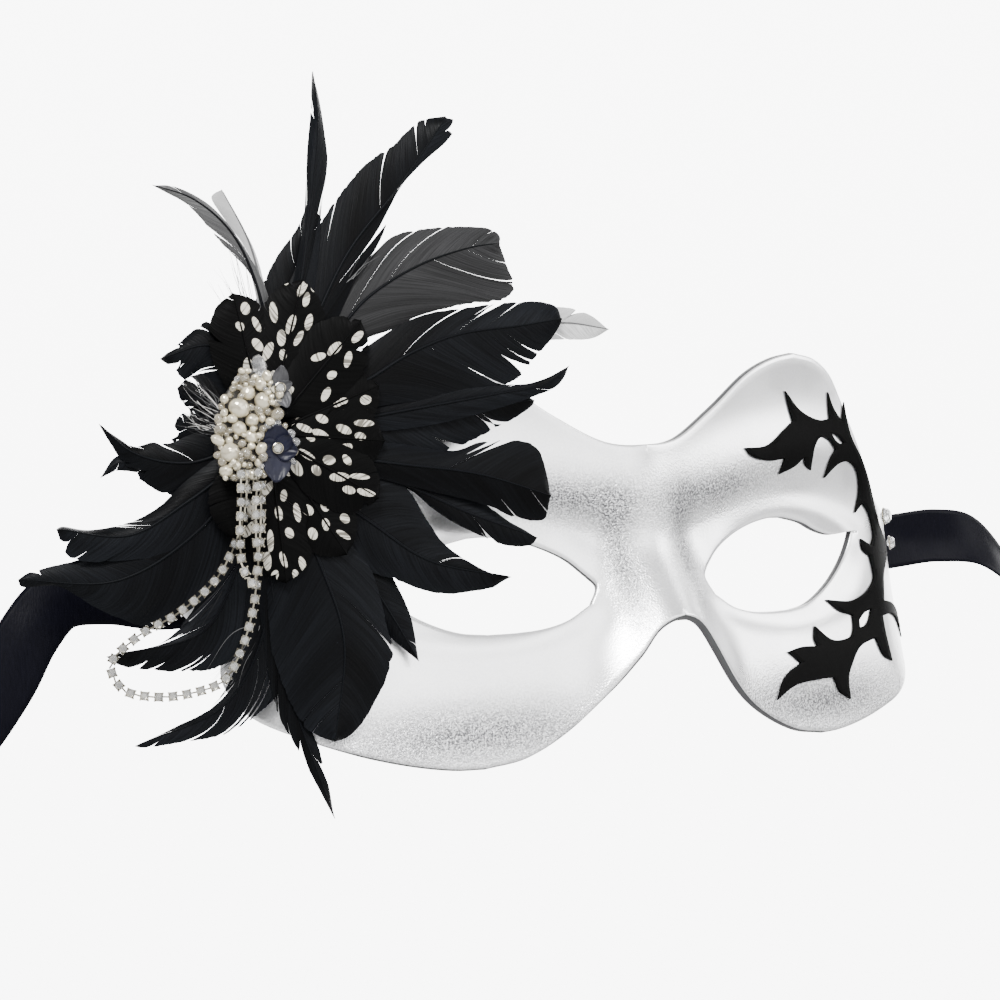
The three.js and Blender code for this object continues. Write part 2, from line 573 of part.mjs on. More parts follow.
// A thin cut-out that follows the mask surface.
function scroll(name, outlinePoints, slotPoints) {
  const outline = halved(outlinePoints.map((p) => new THREE.Vector2(...p)));
  const slot = halved(slotPoints.map((p) => new THREE.Vector2(...p)));
  if (THREE.ShapeUtils.isClockWise(outline)) outline.reverse();
  if (!THREE.ShapeUtils.isClockWise(slot)) slot.reverse();
  const flat = [...outline, ...slot];
  const faces = refine(flat, fatten(flat, THREE.ShapeUtils.triangulateShape(outline, [slot])), 2 * TRIM_STEP);
  const at = (p, above) => skin(p.x, p.y, above);
  const points = flat.flatMap((p) => [at(p, TRIM_GAP), at(p, TRIM_GAP + TRIM_THICKNESS)]);
  const skins = faces.flatMap(([a, b, c]) => [[2 * a + 1, 2 * b + 1, 2 * c + 1], [2 * a, 2 * c, 2 * b]]);
  const rim = [];
  for (const [first, count] of [[0, outline.length], [outline.length, slot.length]]) {
    for (let i = 0; i < count; i++) {
      const a = 2 * (first + i);
      const b = 2 * (first + (i + 1) % count);
      rim.push([a, b, b + 1], [a, b + 1, a + 1]);
    }
  }
  return named(name, 'black', solid(points, [...skins, ...rim]));
}

function templeCrystals() {
  const places = [['temple_crystal_upper', 78.8, 10.9, 1.8], ['temple_crystal_lower', 84.2, 5, 1.4]];
  return places.map(([name, x, z, r]) => {
    const at = skin(x, z, CRYSTAL_GAP);
    const out = skin(x, z, CRYSTAL_GAP + 1).sub(at);
    return stone(name, at, out, r, r * 0.9);
  });
}

const mask = new THREE.Group();
mask.name = 'masquerade_mask';
mask.add(
  maskShell(),
  scroll('scroll_upper', UPPER_SCROLL, UPPER_SLOT),
  scroll('scroll_lower', LOWER_SCROLL, LOWER_SLOT),
  ...templeCrystals(),
  feltPad(),
  ...featherFan(),
  ...brooch(),
  chain('long_cup_chain', LONG_CHAIN, CHAIN_LEVEL, 64),
  chain('short_cup_chain', SHORT_CHAIN, SHORT_CHAIN_LEVEL, 26),
  ribbon('right_ribbon', ribbonRoute(1, RIGHT_FALL)),
  ribbon('left_ribbon', ribbonRoute(-1, LEFT_FALL)),
);

export default mask;
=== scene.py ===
import random
import re
from math import acos, cos, degrees, hypot, pi, radians, sin, sqrt

import bmesh
import bpy
import numpy as np
from mathutils import Matrix, Vector


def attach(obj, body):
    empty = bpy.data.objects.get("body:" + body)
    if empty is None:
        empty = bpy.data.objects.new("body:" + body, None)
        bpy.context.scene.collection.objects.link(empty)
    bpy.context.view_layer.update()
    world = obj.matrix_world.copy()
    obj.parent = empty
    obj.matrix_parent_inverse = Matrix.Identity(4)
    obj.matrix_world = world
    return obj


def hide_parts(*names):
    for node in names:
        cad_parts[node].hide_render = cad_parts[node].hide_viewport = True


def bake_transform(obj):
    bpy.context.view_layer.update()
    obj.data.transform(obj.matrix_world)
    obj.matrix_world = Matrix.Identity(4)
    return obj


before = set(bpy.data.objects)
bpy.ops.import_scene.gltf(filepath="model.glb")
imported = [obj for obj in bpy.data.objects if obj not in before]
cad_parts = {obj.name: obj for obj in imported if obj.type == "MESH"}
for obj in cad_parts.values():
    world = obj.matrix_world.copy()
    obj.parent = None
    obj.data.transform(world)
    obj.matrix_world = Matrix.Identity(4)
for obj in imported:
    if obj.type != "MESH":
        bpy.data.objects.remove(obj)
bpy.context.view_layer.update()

MM = 0.001


# ---- helpers
def unit(v):
    v = np.asarray(v, float)
    return v / max(np.linalg.norm(v), 1e-12)


def add_object(name, data):
    obj = bpy.data.objects.new(name, data)
    bpy.context.scene.collection.objects.link(obj)
    return obj


def make(name, verts, faces, mats, face_mat=None, smooth=True):
    """A mesh piece from points in millimetres."""
    mesh = bpy.data.meshes.new(name)
    at = [tuple(float(c) * MM for c in v) for v in verts]
    mesh.from_pydata(at, [], [tuple(int(i) for i in f) for f in faces])
    for m in mats:
        mesh.materials.append(m)
    if face_mat is not None:
        mesh.polygons.foreach_set("material_index", np.asarray(face_mat, dtype=np.int32))
    mesh.polygons.foreach_set("use_smooth", [bool(smooth)] * len(mesh.polygons))
    mesh.update()
    return add_object(name, mesh)


def attribute(obj, name, values):
    layer = obj.data.attributes.new(name, "FLOAT", "POINT")
    layer.data.foreach_set("value", np.asarray(values, dtype=np.float32))


class Mesher:
    """Collects loose shells into one mesh."""

    def __init__(self):
        self.v, self.f, self.m, self.a = [], [], [], {}

    def add(self, verts, faces, mat=0, **attrs):
        base = len(self.v)
        self.v.extend(verts)
        self.f.extend([tuple(base + i for i in f) for f in faces])
        self.m.extend([mat] * len(faces))
        for key, value in attrs.items():
            column = self.a.setdefault(key, [0.0] * base)
            column.extend(value if hasattr(value, "__len__") else [value] * len(verts))
        for column in self.a.values():
            column.extend([0.0] * (len(self.v) - len(column)))

    def build(self, name, mats, smooth=True):
        obj = make(name, self.v, self.f, mats, self.m, smooth)
        for key, column in self.a.items():
            attribute(obj, key, column)
        return obj


def points(text):
    """The points of a line written as x,y x,y ..."""
    return [tuple(float(c) for c in point.split(",")) for point in text.split()]


def run_of(path):
    """Length along a path up to each of its points."""
    return np.concatenate([[0], np.cumsum(np.linalg.norm(np.diff(path, axis=0), axis=1))])


def point_at(path, run, want):
    """Where a path is at the lengths wanted."""
    return np.stack([np.interp(want, run, column) for column in path.T], axis=-1)


def between(t, t0, t1, a, b):
    return (t1 - t) / (t1 - t0) * a + (t - t0) / (t1 - t0) * b


def catmull(stations, count):
    """count evenly spaced points on a centripetal Catmull-Rom line, without its last point."""
    p = np.asarray(stations, float)
    ends = np.vstack([2 * p[0] - p[1], p, 2 * p[-1] - p[-2]])
    # A line that starts or ends on the middle of the face leaves it level.
    if p.shape[1] == 2 and len(p) > 2:
        if p[0][0] == 0:
            ends[0] = (-p[1][0], p[1][1])
        if p[-1][0] == 0:
            ends[-1] = (-p[-2][0], p[-2][1])
    dense = []
    for i in range(len(p) - 1):
        p0, p1, p2, p3 = ends[i : i + 4]
        t0 = 0.0
        t1 = t0 + max(np.linalg.norm(p1 - p0), 1e-6) ** 0.5
        t2 = t1 + max(np.linalg.norm(p2 - p1), 1e-6) ** 0.5
        t3 = t2 + max(np.linalg.norm(p3 - p2), 1e-6) ** 0.5
        for t in np.linspace(t1, t2, 24, endpoint=False):
            a1, a2, a3 = between(t, t0, t1, p0, p1), between(t, t1, t2, p1, p2), between(t, t2, t3, p2, p3)
            dense.append(between(t, t1, t2, between(t, t0, t2, a1, a2), between(t, t1, t3, a2, a3)))
    dense.append(p[-1])
    dense = np.array(dense)
    run = run_of(dense)
    return point_at(dense, run, np.linspace(0, run[-1], count + 1)[:-1])


def smooth_line(stations, count):
    """The same with its last point."""
    return np.vstack([catmull(stations, count), stations[-1]])


def grid(rows, cols, closed=False, flip=False):
    """Quads of rows + 1 lines of cols + 1 points each, or of cols points where a line is closed."""
    wide = cols if closed else cols + 1
    faces = []
    for i in range(rows):
        for j in range(cols):
            a, b = i * wide + j, i * wide + (j + 1) % wide
            faces.append((a, a + wide, b + wide, b) if flip else (a, b, b + wide, a + wide))
    return faces


def two_layers(rows, cols):
    """Faces of two open grids of points, one behind the other, joined round their rim."""
    wide, back = cols + 1, (rows + 1) * (cols + 1)
    faces = grid(rows, cols) + [tuple(back + k for k in quad) for quad in grid(rows, cols, flip=True)]
    rim = list(range(wide)) + [i * wide + cols for i in range(1, rows + 1)]
    rim += [rows * wide + j for j in range(cols - 1, -1, -1)] + [i * wide for i in range(rows - 1, 0, -1)]
    for a, b in zip(rim, rim[1:] + rim[:1]):
        faces.append((a, back + a, back + b, b))
    return faces


def place(obj, slot, *nodes, body="mask"):
    """Puts a piece on its body in place of its CAD nodes; its colour slot is not used."""
    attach(obj, body)
    if nodes:
        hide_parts(*nodes)
    return obj


# ---- materials
NOISE_SPAN = (0.3, 0.7)  # nearly all values of a noise lie in this span


class Nodes:
    """Short names for building a node tree."""

    def __init__(self, tree):
        self.tree = tree

    def new(self, kind, **props):
        n = self.tree.nodes.new(kind)
        for key, value in props.items():
            setattr(n, key, value)
        return n

    def link(self, a, b):
        self.tree.links.new(a, b)

    def remap(self, value, a, b, c, d, **props):
        n = self.new("ShaderNodeMapRange", **props)
        for i, x in enumerate((a, b, c, d)):
            n.inputs[i + 1].default_value = x
        self.link(value, n.inputs[0])
        return n.outputs[0]

    def math(self, operation, a, b):
        n = self.new("ShaderNodeMath", operation=operation)
        self.link(a, n.inputs[0])
        self.link(b, n.inputs[1])
        return n.outputs[0]


class Look(Nodes):
    """A material and its nodes."""

    def __init__(self, name, color, rough, metal=0.0, **sockets):
        self.mat = bpy.data.materials.new(name)
        self.mat.use_nodes = True
        super().__init__(self.mat.node_tree)
        self.shader = self.tree.nodes["Principled BSDF"].inputs
        self.shader["Base Color"].default_value = (*color, 1)
        sockets.update(Roughness=rough, Metallic=metal)
        for key, value in sockets.items():
            self.shader[key.replace("_", " ")].default_value = value

    def noise(self, scale, detail, rough, stretch=(1, 1, 1), source=None):
        mapping = self.new("ShaderNodeMapping")
        mapping.inputs["Scale"].default_value = stretch
        n = self.new("ShaderNodeTexNoise")
        for key, value in (("Scale", scale), ("Detail", detail), ("Roughness", rough)):
            n.inputs[key].default_value = value
        self.link(source or self.new("ShaderNodeTexCoord").outputs["Object"], mapping.inputs["Vector"])
        self.link(mapping.outputs["Vector"], n.inputs["Vector"])
        return n.outputs["Fac"]

    def mix(self, fac, a, b):
        n = self.new("ShaderNodeMix", data_type="RGBA")
        for socket, value in ((n.inputs[6], a), (n.inputs[7], b)):
            if hasattr(value, "links"):
                self.link(value, socket)
            else:
                socket.default_value = (*value, 1)
        self.link(fac, n.inputs[0])
        return n.outputs[2]

    def attr(self, name):
        return self.new("ShaderNodeAttribute", attribute_name=name).outputs["Fac"]

    def color(self, value):
        self.link(value, self.shader["Base Color"])

    def rough(self, value, low, high):
        self.link(self.remap(value, *NOISE_SPAN, low, high), self.shader["Roughness"])

    def bump(self, height, strength, distance):
        n = self.new("ShaderNodeBump")
        n.inputs["Strength"].default_value = strength
        n.inputs["Distance"].default_value = distance
        self.link(height, n.inputs["Height"])
        self.link(n.outputs["Normal"], self.shader["Normal"])


def silver_leaf():
    """Smooth leaf; where the attribute grain is 1 it is pebbly and painted much darker as shade."""
    n = Look("silver_leaf", (0.84, 0.84, 0.85), 0.30, 0.95)
    grain = n.noise(2300, 2, 0.55)
    pebble_and_shade_amount = n.attr("grain")
    n.bump(n.math("MULTIPLY", grain, n.remap(pebble_and_shade_amount, 0, 1, 0.03, 1.0)), 0.8, 0.0006)
    n.rough(n.noise(60, 3, 0.6), 0.26, 0.35)
    smooth = n.mix(n.remap(grain, 0.35, 0.7, 0, 1), (0.86, 0.86, 0.87), (0.93, 0.93, 0.94))
    # Painted shade with a pebble speckle: where grain is 1 the leaf takes this far darker tone, standing in
    # for shade in creases and on down-facing parts.
    pebbled_shade_tone = n.mix(n.remap(grain, 0.40, 0.62, 0, 1), (0.11, 0.11, 0.115), (0.60, 0.60, 0.61))
    n.color(n.mix(pebble_and_shade_amount, smooth, pebbled_shade_tone))
    return n.mat


def feather_mat(name, dark, light, rough, specular, spots=False):
    """Barbs as fine streaks; the attribute tone says how light, spot where it is cream."""
    n = Look(name, dark, rough, Specular_IOR_Level=specular)
    where = n.new("ShaderNodeCombineXYZ")
    n.link(n.attr("along"), where.inputs[0])
    n.link(n.attr("across"), where.inputs[1])
    streak = n.noise(1.0, 4, 0.5, (2.2, 0.12, 1), where.outputs[0])
    tone = n.mix(n.math("MULTIPLY", n.attr("tone"), n.remap(streak, *NOISE_SPAN, 0.25, 1.3)), dark, light)
    if spots:
        cream = n.mix(n.remap(streak, 0.42, 0.52, 0, 1), (0.12, 0.112, 0.095), (0.50, 0.475, 0.41))
        tone = n.mix(n.remap(n.attr("spot"), -0.03, 0.05, 0, 1), tone, cream)
    n.color(tone)
    n.rough(streak, rough + 0.1, rough - 0.1)
    n.bump(streak, 0.35, 0.0002)
    return n.mat


def mottled(name, rough, dark, light, patch, grain, strength, distance, metal=0.0, **sockets):
    """Two tones and a fine bump; patch and grain are the scale, detail and roughness of a noise."""
    n = Look(name, light, rough, metal, **sockets)
    n.bump(n.noise(*grain), strength, distance)
    n.color(n.mix(n.noise(*patch), dark, light))
    return n.mat


def petal_mat(name, dark, light):
    fine = (350, 5, 0.65), (800, 4, 0.6), 0.3, 0.0003
    return mottled(name, 0.32, dark, light, *fine, Specular_IOR_Level=0.15)


def crystal_mat(name, tint, rough, clear):
    n = Look(name, tint, rough, IOR=1.6, Transmission_Weight=clear, Coat_Weight=0.5, Coat_Roughness=0.02)
    n.color(n.mix(n.noise(700, 2, 0.5), tint, tuple(c * 0.7 for c in tint)))
    return n.mat


def metal_mat(name, tint, rough):
    n = Look(name, tint, rough, 1.0)
    n.rough(n.noise(900, 3, 0.6), rough * 0.7, rough * 1.5)
    return n.mat


def satin_mat():
    n = Look("satin", (0.004, 0.004, 0.007), 0.4, Specular_IOR_Level=0.02)
    weave = n.noise(3000, 2, 0.5, stretch=(1, 1, 0.12))
    n.bump(weave, 0.25, 0.0002)
    n.rough(n.noise(120, 3, 0.5), 0.30, 0.44)
    n.color(n.mix(weave, (0.0012, 0.0012, 0.0022), (0.004, 0.004, 0.007)))
    return n.mat


SILVER = silver_leaf()
CORE = mottled("shell_core", 0.55, (0.02, 0.02, 0.022), (0.05, 0.05, 0.052), (300, 4, 0.6), (900, 4, 0.6),
               0.4, 0.0003)
BLACK = feather_mat("feather_black", (0.0005, 0.0005, 0.0006), (0.006, 0.0068, 0.0085), 0.42, 0.04)
GREY = feather_mat("feather_grey", (0.03, 0.03, 0.031), (0.16,) * 3, 0.55, 0.1)
ASH = feather_mat("feather_ash", (0.004,) * 3, (0.026, 0.026, 0.027), 0.5, 0.06)
PALE = feather_mat("feather_pale", (0.30,) * 3, (0.62,) * 3, 0.6, 0.15)
DOWN = feather_mat("feather_down", (0.5, 0.49, 0.47), (0.8, 0.79, 0.77), 0.7, 0.15)
SPOTTED = feather_mat("feather_spotted", (0.0005,) * 3, (0.0022,) * 3, 0.5, 0.03, spots=True)
FELT = mottled("felt", 0.95, (0.003,) * 3, (0.010, 0.010, 0.011), (900, 4, 0.7), (1800, 6, 0.75),
               0.9, 0.0006, Sheen_Weight=0.05, Specular_IOR_Level=0.1)
PEARL = mottled("pearl", 0.14, (0.34, 0.29, 0.19), (0.74, 0.69, 0.54), (420, 3, 0.5), (520, 2, 0.5),
                0.55, 0.0008, 0.55, Coat_Weight=1.0, Coat_Roughness=0.04)
CLEAR = crystal_mat("clear_crystal", (0.95, 0.96, 0.97), 0.02, 0.9)
FROST = crystal_mat("champagne_bead", (0.86, 0.78, 0.60), 0.04, 0.8)
STONE = crystal_mat("rhinestone", (0.93, 0.94, 0.95), 0.02, 0.8)
CUP = metal_mat("cup_metal", (0.27, 0.25, 0.20), 0.14)
PLATE = metal_mat("plate_metal", (0.05, 0.048, 0.045), 0.3)
NAVY = petal_mat("navy_petal", (0.002, 0.0022, 0.006), (0.011, 0.012, 0.026))
SMOKE = petal_mat("smoky_petal", (0.012, 0.012, 0.013), (0.085, 0.085, 0.09))
SATIN = satin_mat()
TRIM = mottled("trim_black", 0.5, (0.0006,) * 3, (0.002,) * 3, (500, 3, 0.6), (1600, 3, 0.6),
               0.3, 0.0001, Specular_IOR_Level=0.02)

# ---- mask surface
THICK = 2.0
SLOPE, WRAP_WIDTH = 0.267, 33.7  # how steeply the face falls back, and how far out that starts
TEMPLE_X = 70.0  # from here outwards it turns back more
BRIDGE_WIDTH, BRIDGE_Z = 9.07, 6.4  # the nose rises forward below this level
FRONT_Y, FRONT_Z = 3.77, 9.3  # where the middle stands, and the level that is furthest forward


def gauss(d, w):
    return np.exp(-((d / w) ** 2) / 2)


def depth(x, z):
    """How far back the front of the mask lies."""
    x, z = np.asarray(x, float), np.asarray(z, float)
    wrap = SLOPE * WRAP_WIDTH * (np.hypot(1, x / WRAP_WIDTH) - 1)
    turn = 0.03 * np.maximum(0, np.abs(x) - TEMPLE_X) ** 2
    rise = 2.0 + 0.53 * 3 * np.log1p(np.exp((BRIDGE_Z - z) / 3))
    return wrap + turn - rise * gauss(x, BRIDGE_WIDTH) + FRONT_Y - 0.00229 * (z - FRONT_Z) ** 2


def relief(x, z):
    """Modelling of the front in millimetres: brow ridge, hollow beside the nose, cheek swell."""
    ax = np.hypot(x, 4)
    brow_line = 17.5 + 9.0 * np.sin(np.clip((ax - 8) / 62, 0, 1) * pi * 0.62)
    brow = 1.5 * gauss(z - brow_line, 5.0) * gauss(ax - 34, 26)
    crease = -1.3 * gauss(z - (brow_line - 8.5), 3.6) * gauss(ax - 22, 12)
    side = -0.9 * gauss(ax - 13.5, 3.6) * gauss(z - 4, 11)
    bridge = 0.8 * gauss(x, 4.5) * gauss(z - 4, 12)
    cheek = 1.2 * gauss(z + 19, 7.5) * gauss(ax - 44, 22)
    rim = 0.5 * gauss(np.hypot((ax - 40) / 27.5, (z - 1.5) / 12.5) - 1.0, 0.12)
    return brow + crease + side + bridge + cheek + rim


def skin(x, z, above, bumps=True):
    """Points above the mask surface along its outward normal."""
    x, z = np.atleast_1d(np.asarray(x, float)), np.atleast_1d(np.asarray(z, float))
    e = 0.05
    sx = (depth(x + e, z) - depth(x - e, z)) / (2 * e)
    sz = (depth(x, z + e) - depth(x, z - e)) / (2 * e)
    out = np.stack([sx, -np.ones_like(x), sz], axis=1)
    out /= np.linalg.norm(out, axis=1)[:, None]
    lift = np.asarray(above, float) + (relief(x, z) if bumps else 0)
    return np.stack([x, depth(x, z), z], axis=1) + out * np.reshape(lift, (-1, 1))


# Outline and eye hole of the half on +X, seen from the front, in millimetres.
BROW_DIP = (0, 28.5)
NOSE_ARCH = (0, -8.1)
CROWN = [BROW_DIP] + points("9,29.4 20.6,35.4 32.9,43.1 41,46 48,47.1")
TEMPLE = points("48,47.1 55.2,45.8 60.6,42.6 64.2,37.5 69.9,26.5 76.5,14.8 84,11.6 91.5,10.2 95.5,5.5")
CHEEK = points("95.5,5.5 93,0 89.8,-5 90,-13 87,-20.5 78,-27 64.8,-32 52,-34.8 45,-35.2")
MUZZLE = points("45,-35.2 35.3,-33.8 24.4,-28.6 16,-21.6 10.6,-15.6 5.4,-9.8") + [NOSE_ARCH]
EYE_INNER = points("16.6,-3.8 14.7,0 16.2,2.2")
EYE_LID = points("16.2,2.2 20,5.7 25.4,8.6 31.6,10.7 37.5,11.7 42,11.7")
EYE_OUTER = points("42,11.7 48.3,10.4 53.1,8.5 58.1,7.4 65.2,8")
EYE_UNDER = points("65.2,8 62.2,2.9 57.6,-1.5 52,-5 46,-7.4 40,-8.3")
EYE_BACK = points("40,-8.3 33,-8.4 27,-8 21.4,-6.6 16.6,-3.8")
# The same number of points on each part of the outline and of the eye hole.
STEPS = (24, 33, 48, 42, 39)
RADIAL = 22


def mask_shell():
    outline = ([NOSE_ARCH, BROW_DIP], CROWN, TEMPLE, CHEEK, MUZZLE)
    eye = (EYE_INNER, EYE_LID, EYE_OUTER, EYE_UNDER, EYE_BACK)
    outer, inner = (np.vstack([catmull(c, n) for c, n in zip(lines, STEPS)]) for lines in (outline, eye))
    around = len(outer)
    # Rings run from the eye hole to the outline. Extra rings by each edge round it over.
    shares = [0.0, 0.012, 0.035] + list(np.linspace(0.08, 0.93, RADIAL)) + [0.972, 0.99, 1.0]
    sink = [0.32, 0.09, 0.0] + [0.0] * RADIAL + [0.0, 0.09, 0.32]
    verts, faces, mats, grain = [], [], [], []

    def rings(side, inside):
        rows = []
        for share, low in zip(shares, sink):
            p = inner + (outer - inner) * share
            middle = np.arange(around) <= STEPS[0]
            edge = np.where(middle & (share > 0.9), 0.0, low)
            above = -edge if not inside else -(THICK - edge)
            pts = skin(side * p[:, 0], p[:, 1], above)
            rows.append(list(range(len(verts), len(verts) + around)))
            verts.extend(pts)
            grain.extend(grain_at(side * p[:, 0], p[:, 1]))
        return rows

    for side in (1, -1):
        front, back = rings(side, False), rings(side, True)

        def quad(a, b, c, d, mat):
            faces.append((a, b, c, d) if side > 0 else (a, d, c, b))
            mats.append(mat)

        for r in range(len(shares) - 1):
            for i in range(around):
                j = (i + 1) % around
                quad(front[r][i], front[r][j], front[r + 1][j], front[r + 1][i], 0)
                quad(back[r][i], back[r + 1][i], back[r + 1][j], back[r][j], 1)
        for i in range(around):
            j = (i + 1) % around
            quad(front[0][j], front[0][i], back[0][i], back[0][j], 1)
            if i >= STEPS[0]:
                quad(front[-1][i], front[-1][j], back[-1][j], back[-1][i], 1)
    obj = make("shell", verts, faces, [SILVER, CORE], mats)
    # The attribute grain carries both the pebbling and the painted shade of the leaf.
    attribute(obj, "grain", grain)
    weld = obj.modifiers.new("weld", "WELD")
    weld.merge_threshold = 0.00002
    place(obj, "silver", "mask_shell")


def grain_at(x, z):
    """Where the leaf is pebbly and painted darker as shade: in the crease under the brow, beside the nose,
    low on the cheeks.
    """
    ax = np.hypot(x, 4)
    crease = 17.0 + 5.0 * np.sin(np.clip((ax - 10) / 50, 0, 1) * pi * 0.55)
    g = 1.0 * gauss(z - crease, 3.6) * gauss(ax - 20, 16)
    g += 0.85 * gauss(ax - 9.5, 2.6) * gauss(z - 5, 9)
    g += 1.0 * gauss(z + 28.5, 4.6) * gauss(ax - 46, 24)
    return np.clip(g, 0, 1)


mask_shell()

# ---- fan plane
TURN = radians(24)
OUT = np.array([-sin(TURN), -cos(TURN), 0.0])
ACROSS = np.array([cos(TURN), -sin(TURN), 0.0])
UP = np.array([0.0, 0.0, 1.0])
CENTRE = np.array([-84.4, 15.8, 35.4])
FALL, FALL_RADIUS = 9.0, 60


def fan(a, b, h):
    """Points across, up and out of the fan, which falls back from its centre."""
    a, b, h = np.asarray(a, float), np.asarray(b, float), np.asarray(h, float)
    r2 = a * a + b * b
    fall = FALL * r2 / (FALL_RADIUS**2 + r2)
    return CENTRE + a[..., None] * ACROSS + b[..., None] * UP + (h - fall)[..., None] * OUT


def polar(angle, radius):
    return np.array([cos(radians(angle)), sin(radians(angle))]) * radius


# ---- feathers
FINE = 120  # steps along a shaft or an edge


def share_at(path, q):
    """Points at shares of a smooth line of FINE steps."""
    return point_at(path, np.arange(FINE + 1), q * FINE)


def vane(m, shaft, edge, level, seed, side, curl=0.0, bow=0.8, reach=0.3, slits=4, gape=0.5, fray=0.05,
         mat=0, pitch=0.6, cols=10, spots=None):
    """One side of a feather: zipped barbs in clumps, parted by slits that open towards the edge."""
    r = random.Random(f"{seed}{side}")
    line, rim = smooth_line(shaft, FINE), smooth_line(edge, FINE)
    length = float(np.sum(np.linalg.norm(np.diff(line, axis=0), axis=1)))
    cuts = [0.0] + sorted(r.uniform(0.25, 0.93) for _ in range(slits)) + [1.0]
    opens = [0.0] + [r.choice((0.08, 0.15, 1.0)) * gape for _ in range(slits)] + [0.0]
    phase = r.uniform(0, 6.28)
    tone = r.uniform(0.25, 0.5)
    for k in range(len(cuts) - 1):
        s0, s1 = cuts[k], cuts[k + 1]
        rows = max(3, int((s1 - s0) * length / pitch))
        lift, bend = r.uniform(-0.25, 0.25), r.uniform(-0.3, 0.3)
        verts, tones, alongs, acrosses, marks = [], [], [], [], []
        ragged = 0.0
        u = np.linspace(0, 1, cols + 1)
        for i in range(rows + 1):
            t = i / rows
            s = s0 + (s1 - s0) * t
            ragged = 0.6 * ragged + r.uniform(-0.4, 0.4)
            tone = min(0.9, max(0.05, tone + r.uniform(-0.09, 0.09)))
            q = s + reach * (1 - s) * min(1, s / 0.2) * u**1.25
            outer = np.maximum(0, (u - 0.55) / 0.45) ** 1.5
            q = q + (opens[k] * (1 - t) ** 4 - opens[k + 1] * t**4) / length * 3 * outer
            q = np.clip(q, 0, 1)
            close = min(t * rows, (1 - t) * rows)
            short = fray * (0.35 + 0.5 * ragged) + 0.04 * max(0, 1 - close / 2)
            uu = u * (1 - np.clip(short, 0, 0.5))
            root = share_at(line, q)
            flat = root * (1 - uu)[:, None] + share_at(rim, q) * uu[:, None]
            high = level + curl * q**2 - bow * uu**2
            high = high + (lift + bend * q) * uu + 0.22 * np.sin(6 * q + phase) * uu
            high = high + 0.06 * ragged * uu
            verts.extend(fan(flat[:, 0], flat[:, 1], high))
            tones.extend(np.clip(tone + 0.25 * uu**3, 0, 1))
            alongs.extend(np.full(cols + 1, s * length + seed_number(seed)))
            acrosses.extend(uu * 10)
            if spots is not None:
                wide = np.linalg.norm(root - flat, axis=1) * side
                marks.extend(spots(q * length, wide))
        faces = grid(rows, cols)
        if side > 0:
            faces = [quad[::-1] for quad in faces]
        extra = {"tone": tones, "along": alongs, "across": acrosses}
        if spots is not None:
            extra["spot"] = marks
        m.add(verts, faces, mat, **extra)


def seed_number(text):
    return sum(ord(c) * (i + 1) for i, c in enumerate(str(text))) % 997


def quill(m, shaft, level, curl=0.0, thick=0.38, mat=0, spots=False):
    """A tapered shaft standing slightly proud of the vanes."""
    ring, count = 6, 44
    q = np.linspace(0, 0.985, count)
    pos = share_at(smooth_line(shaft, FINE), q)
    step = np.gradient(pos, axis=0)
    step /= np.linalg.norm(step, axis=1)[:, None]
    radius = thick * (1 - q) ** 0.8 + 0.06
    high = level + curl * q**2 + 0.05
    verts = []
    for k in range(count):
        for j in range(ring):
            w = 2 * pi * j / ring
            shift = cos(w) * radius[k]
            a, b = pos[k, 0] - step[k, 1] * shift, pos[k, 1] + step[k, 0] * shift
            verts.append(fan(a, b, high[k] + sin(w) * radius[k]))
    faces = grid(count - 1, ring, closed=True)
    faces += [tuple(range(ring))[::-1], tuple((count - 1) * ring + j for j in range(ring))]
    extra = {"tone": 0.6, "along": 0.0, "across": 0.0}
    if spots:
        extra["spot"] = -1.0
    m.add(verts, faces, mat, **extra)


def hair(m, stations, level, width=0.16, mat=0, lift=0.0):
    """One loose barb: a narrow strip that tapers to its tip."""
    line = smooth_line(stations, 14)
    step = np.gradient(line, axis=0)
    step /= np.linalg.norm(step, axis=1)[:, None] + 1e-9
    across = np.stack([-step[:, 1], step[:, 0]], axis=1)
    t = np.linspace(0, 1, len(line))
    half = (width / 2 * (1 - 0.85 * t))[:, None]
    high = level + lift * t
    a, b = line + across * half, line - across * half
    sides = fan(a[:, 0], a[:, 1], high), fan(b[:, 0], b[:, 1], high + 0.03)
    verts = [v for pair in zip(*sides) for v in pair]
    m.add(verts, grid(len(line) - 1, 1), mat, tone=0.5, along=0.0, across=0.0)


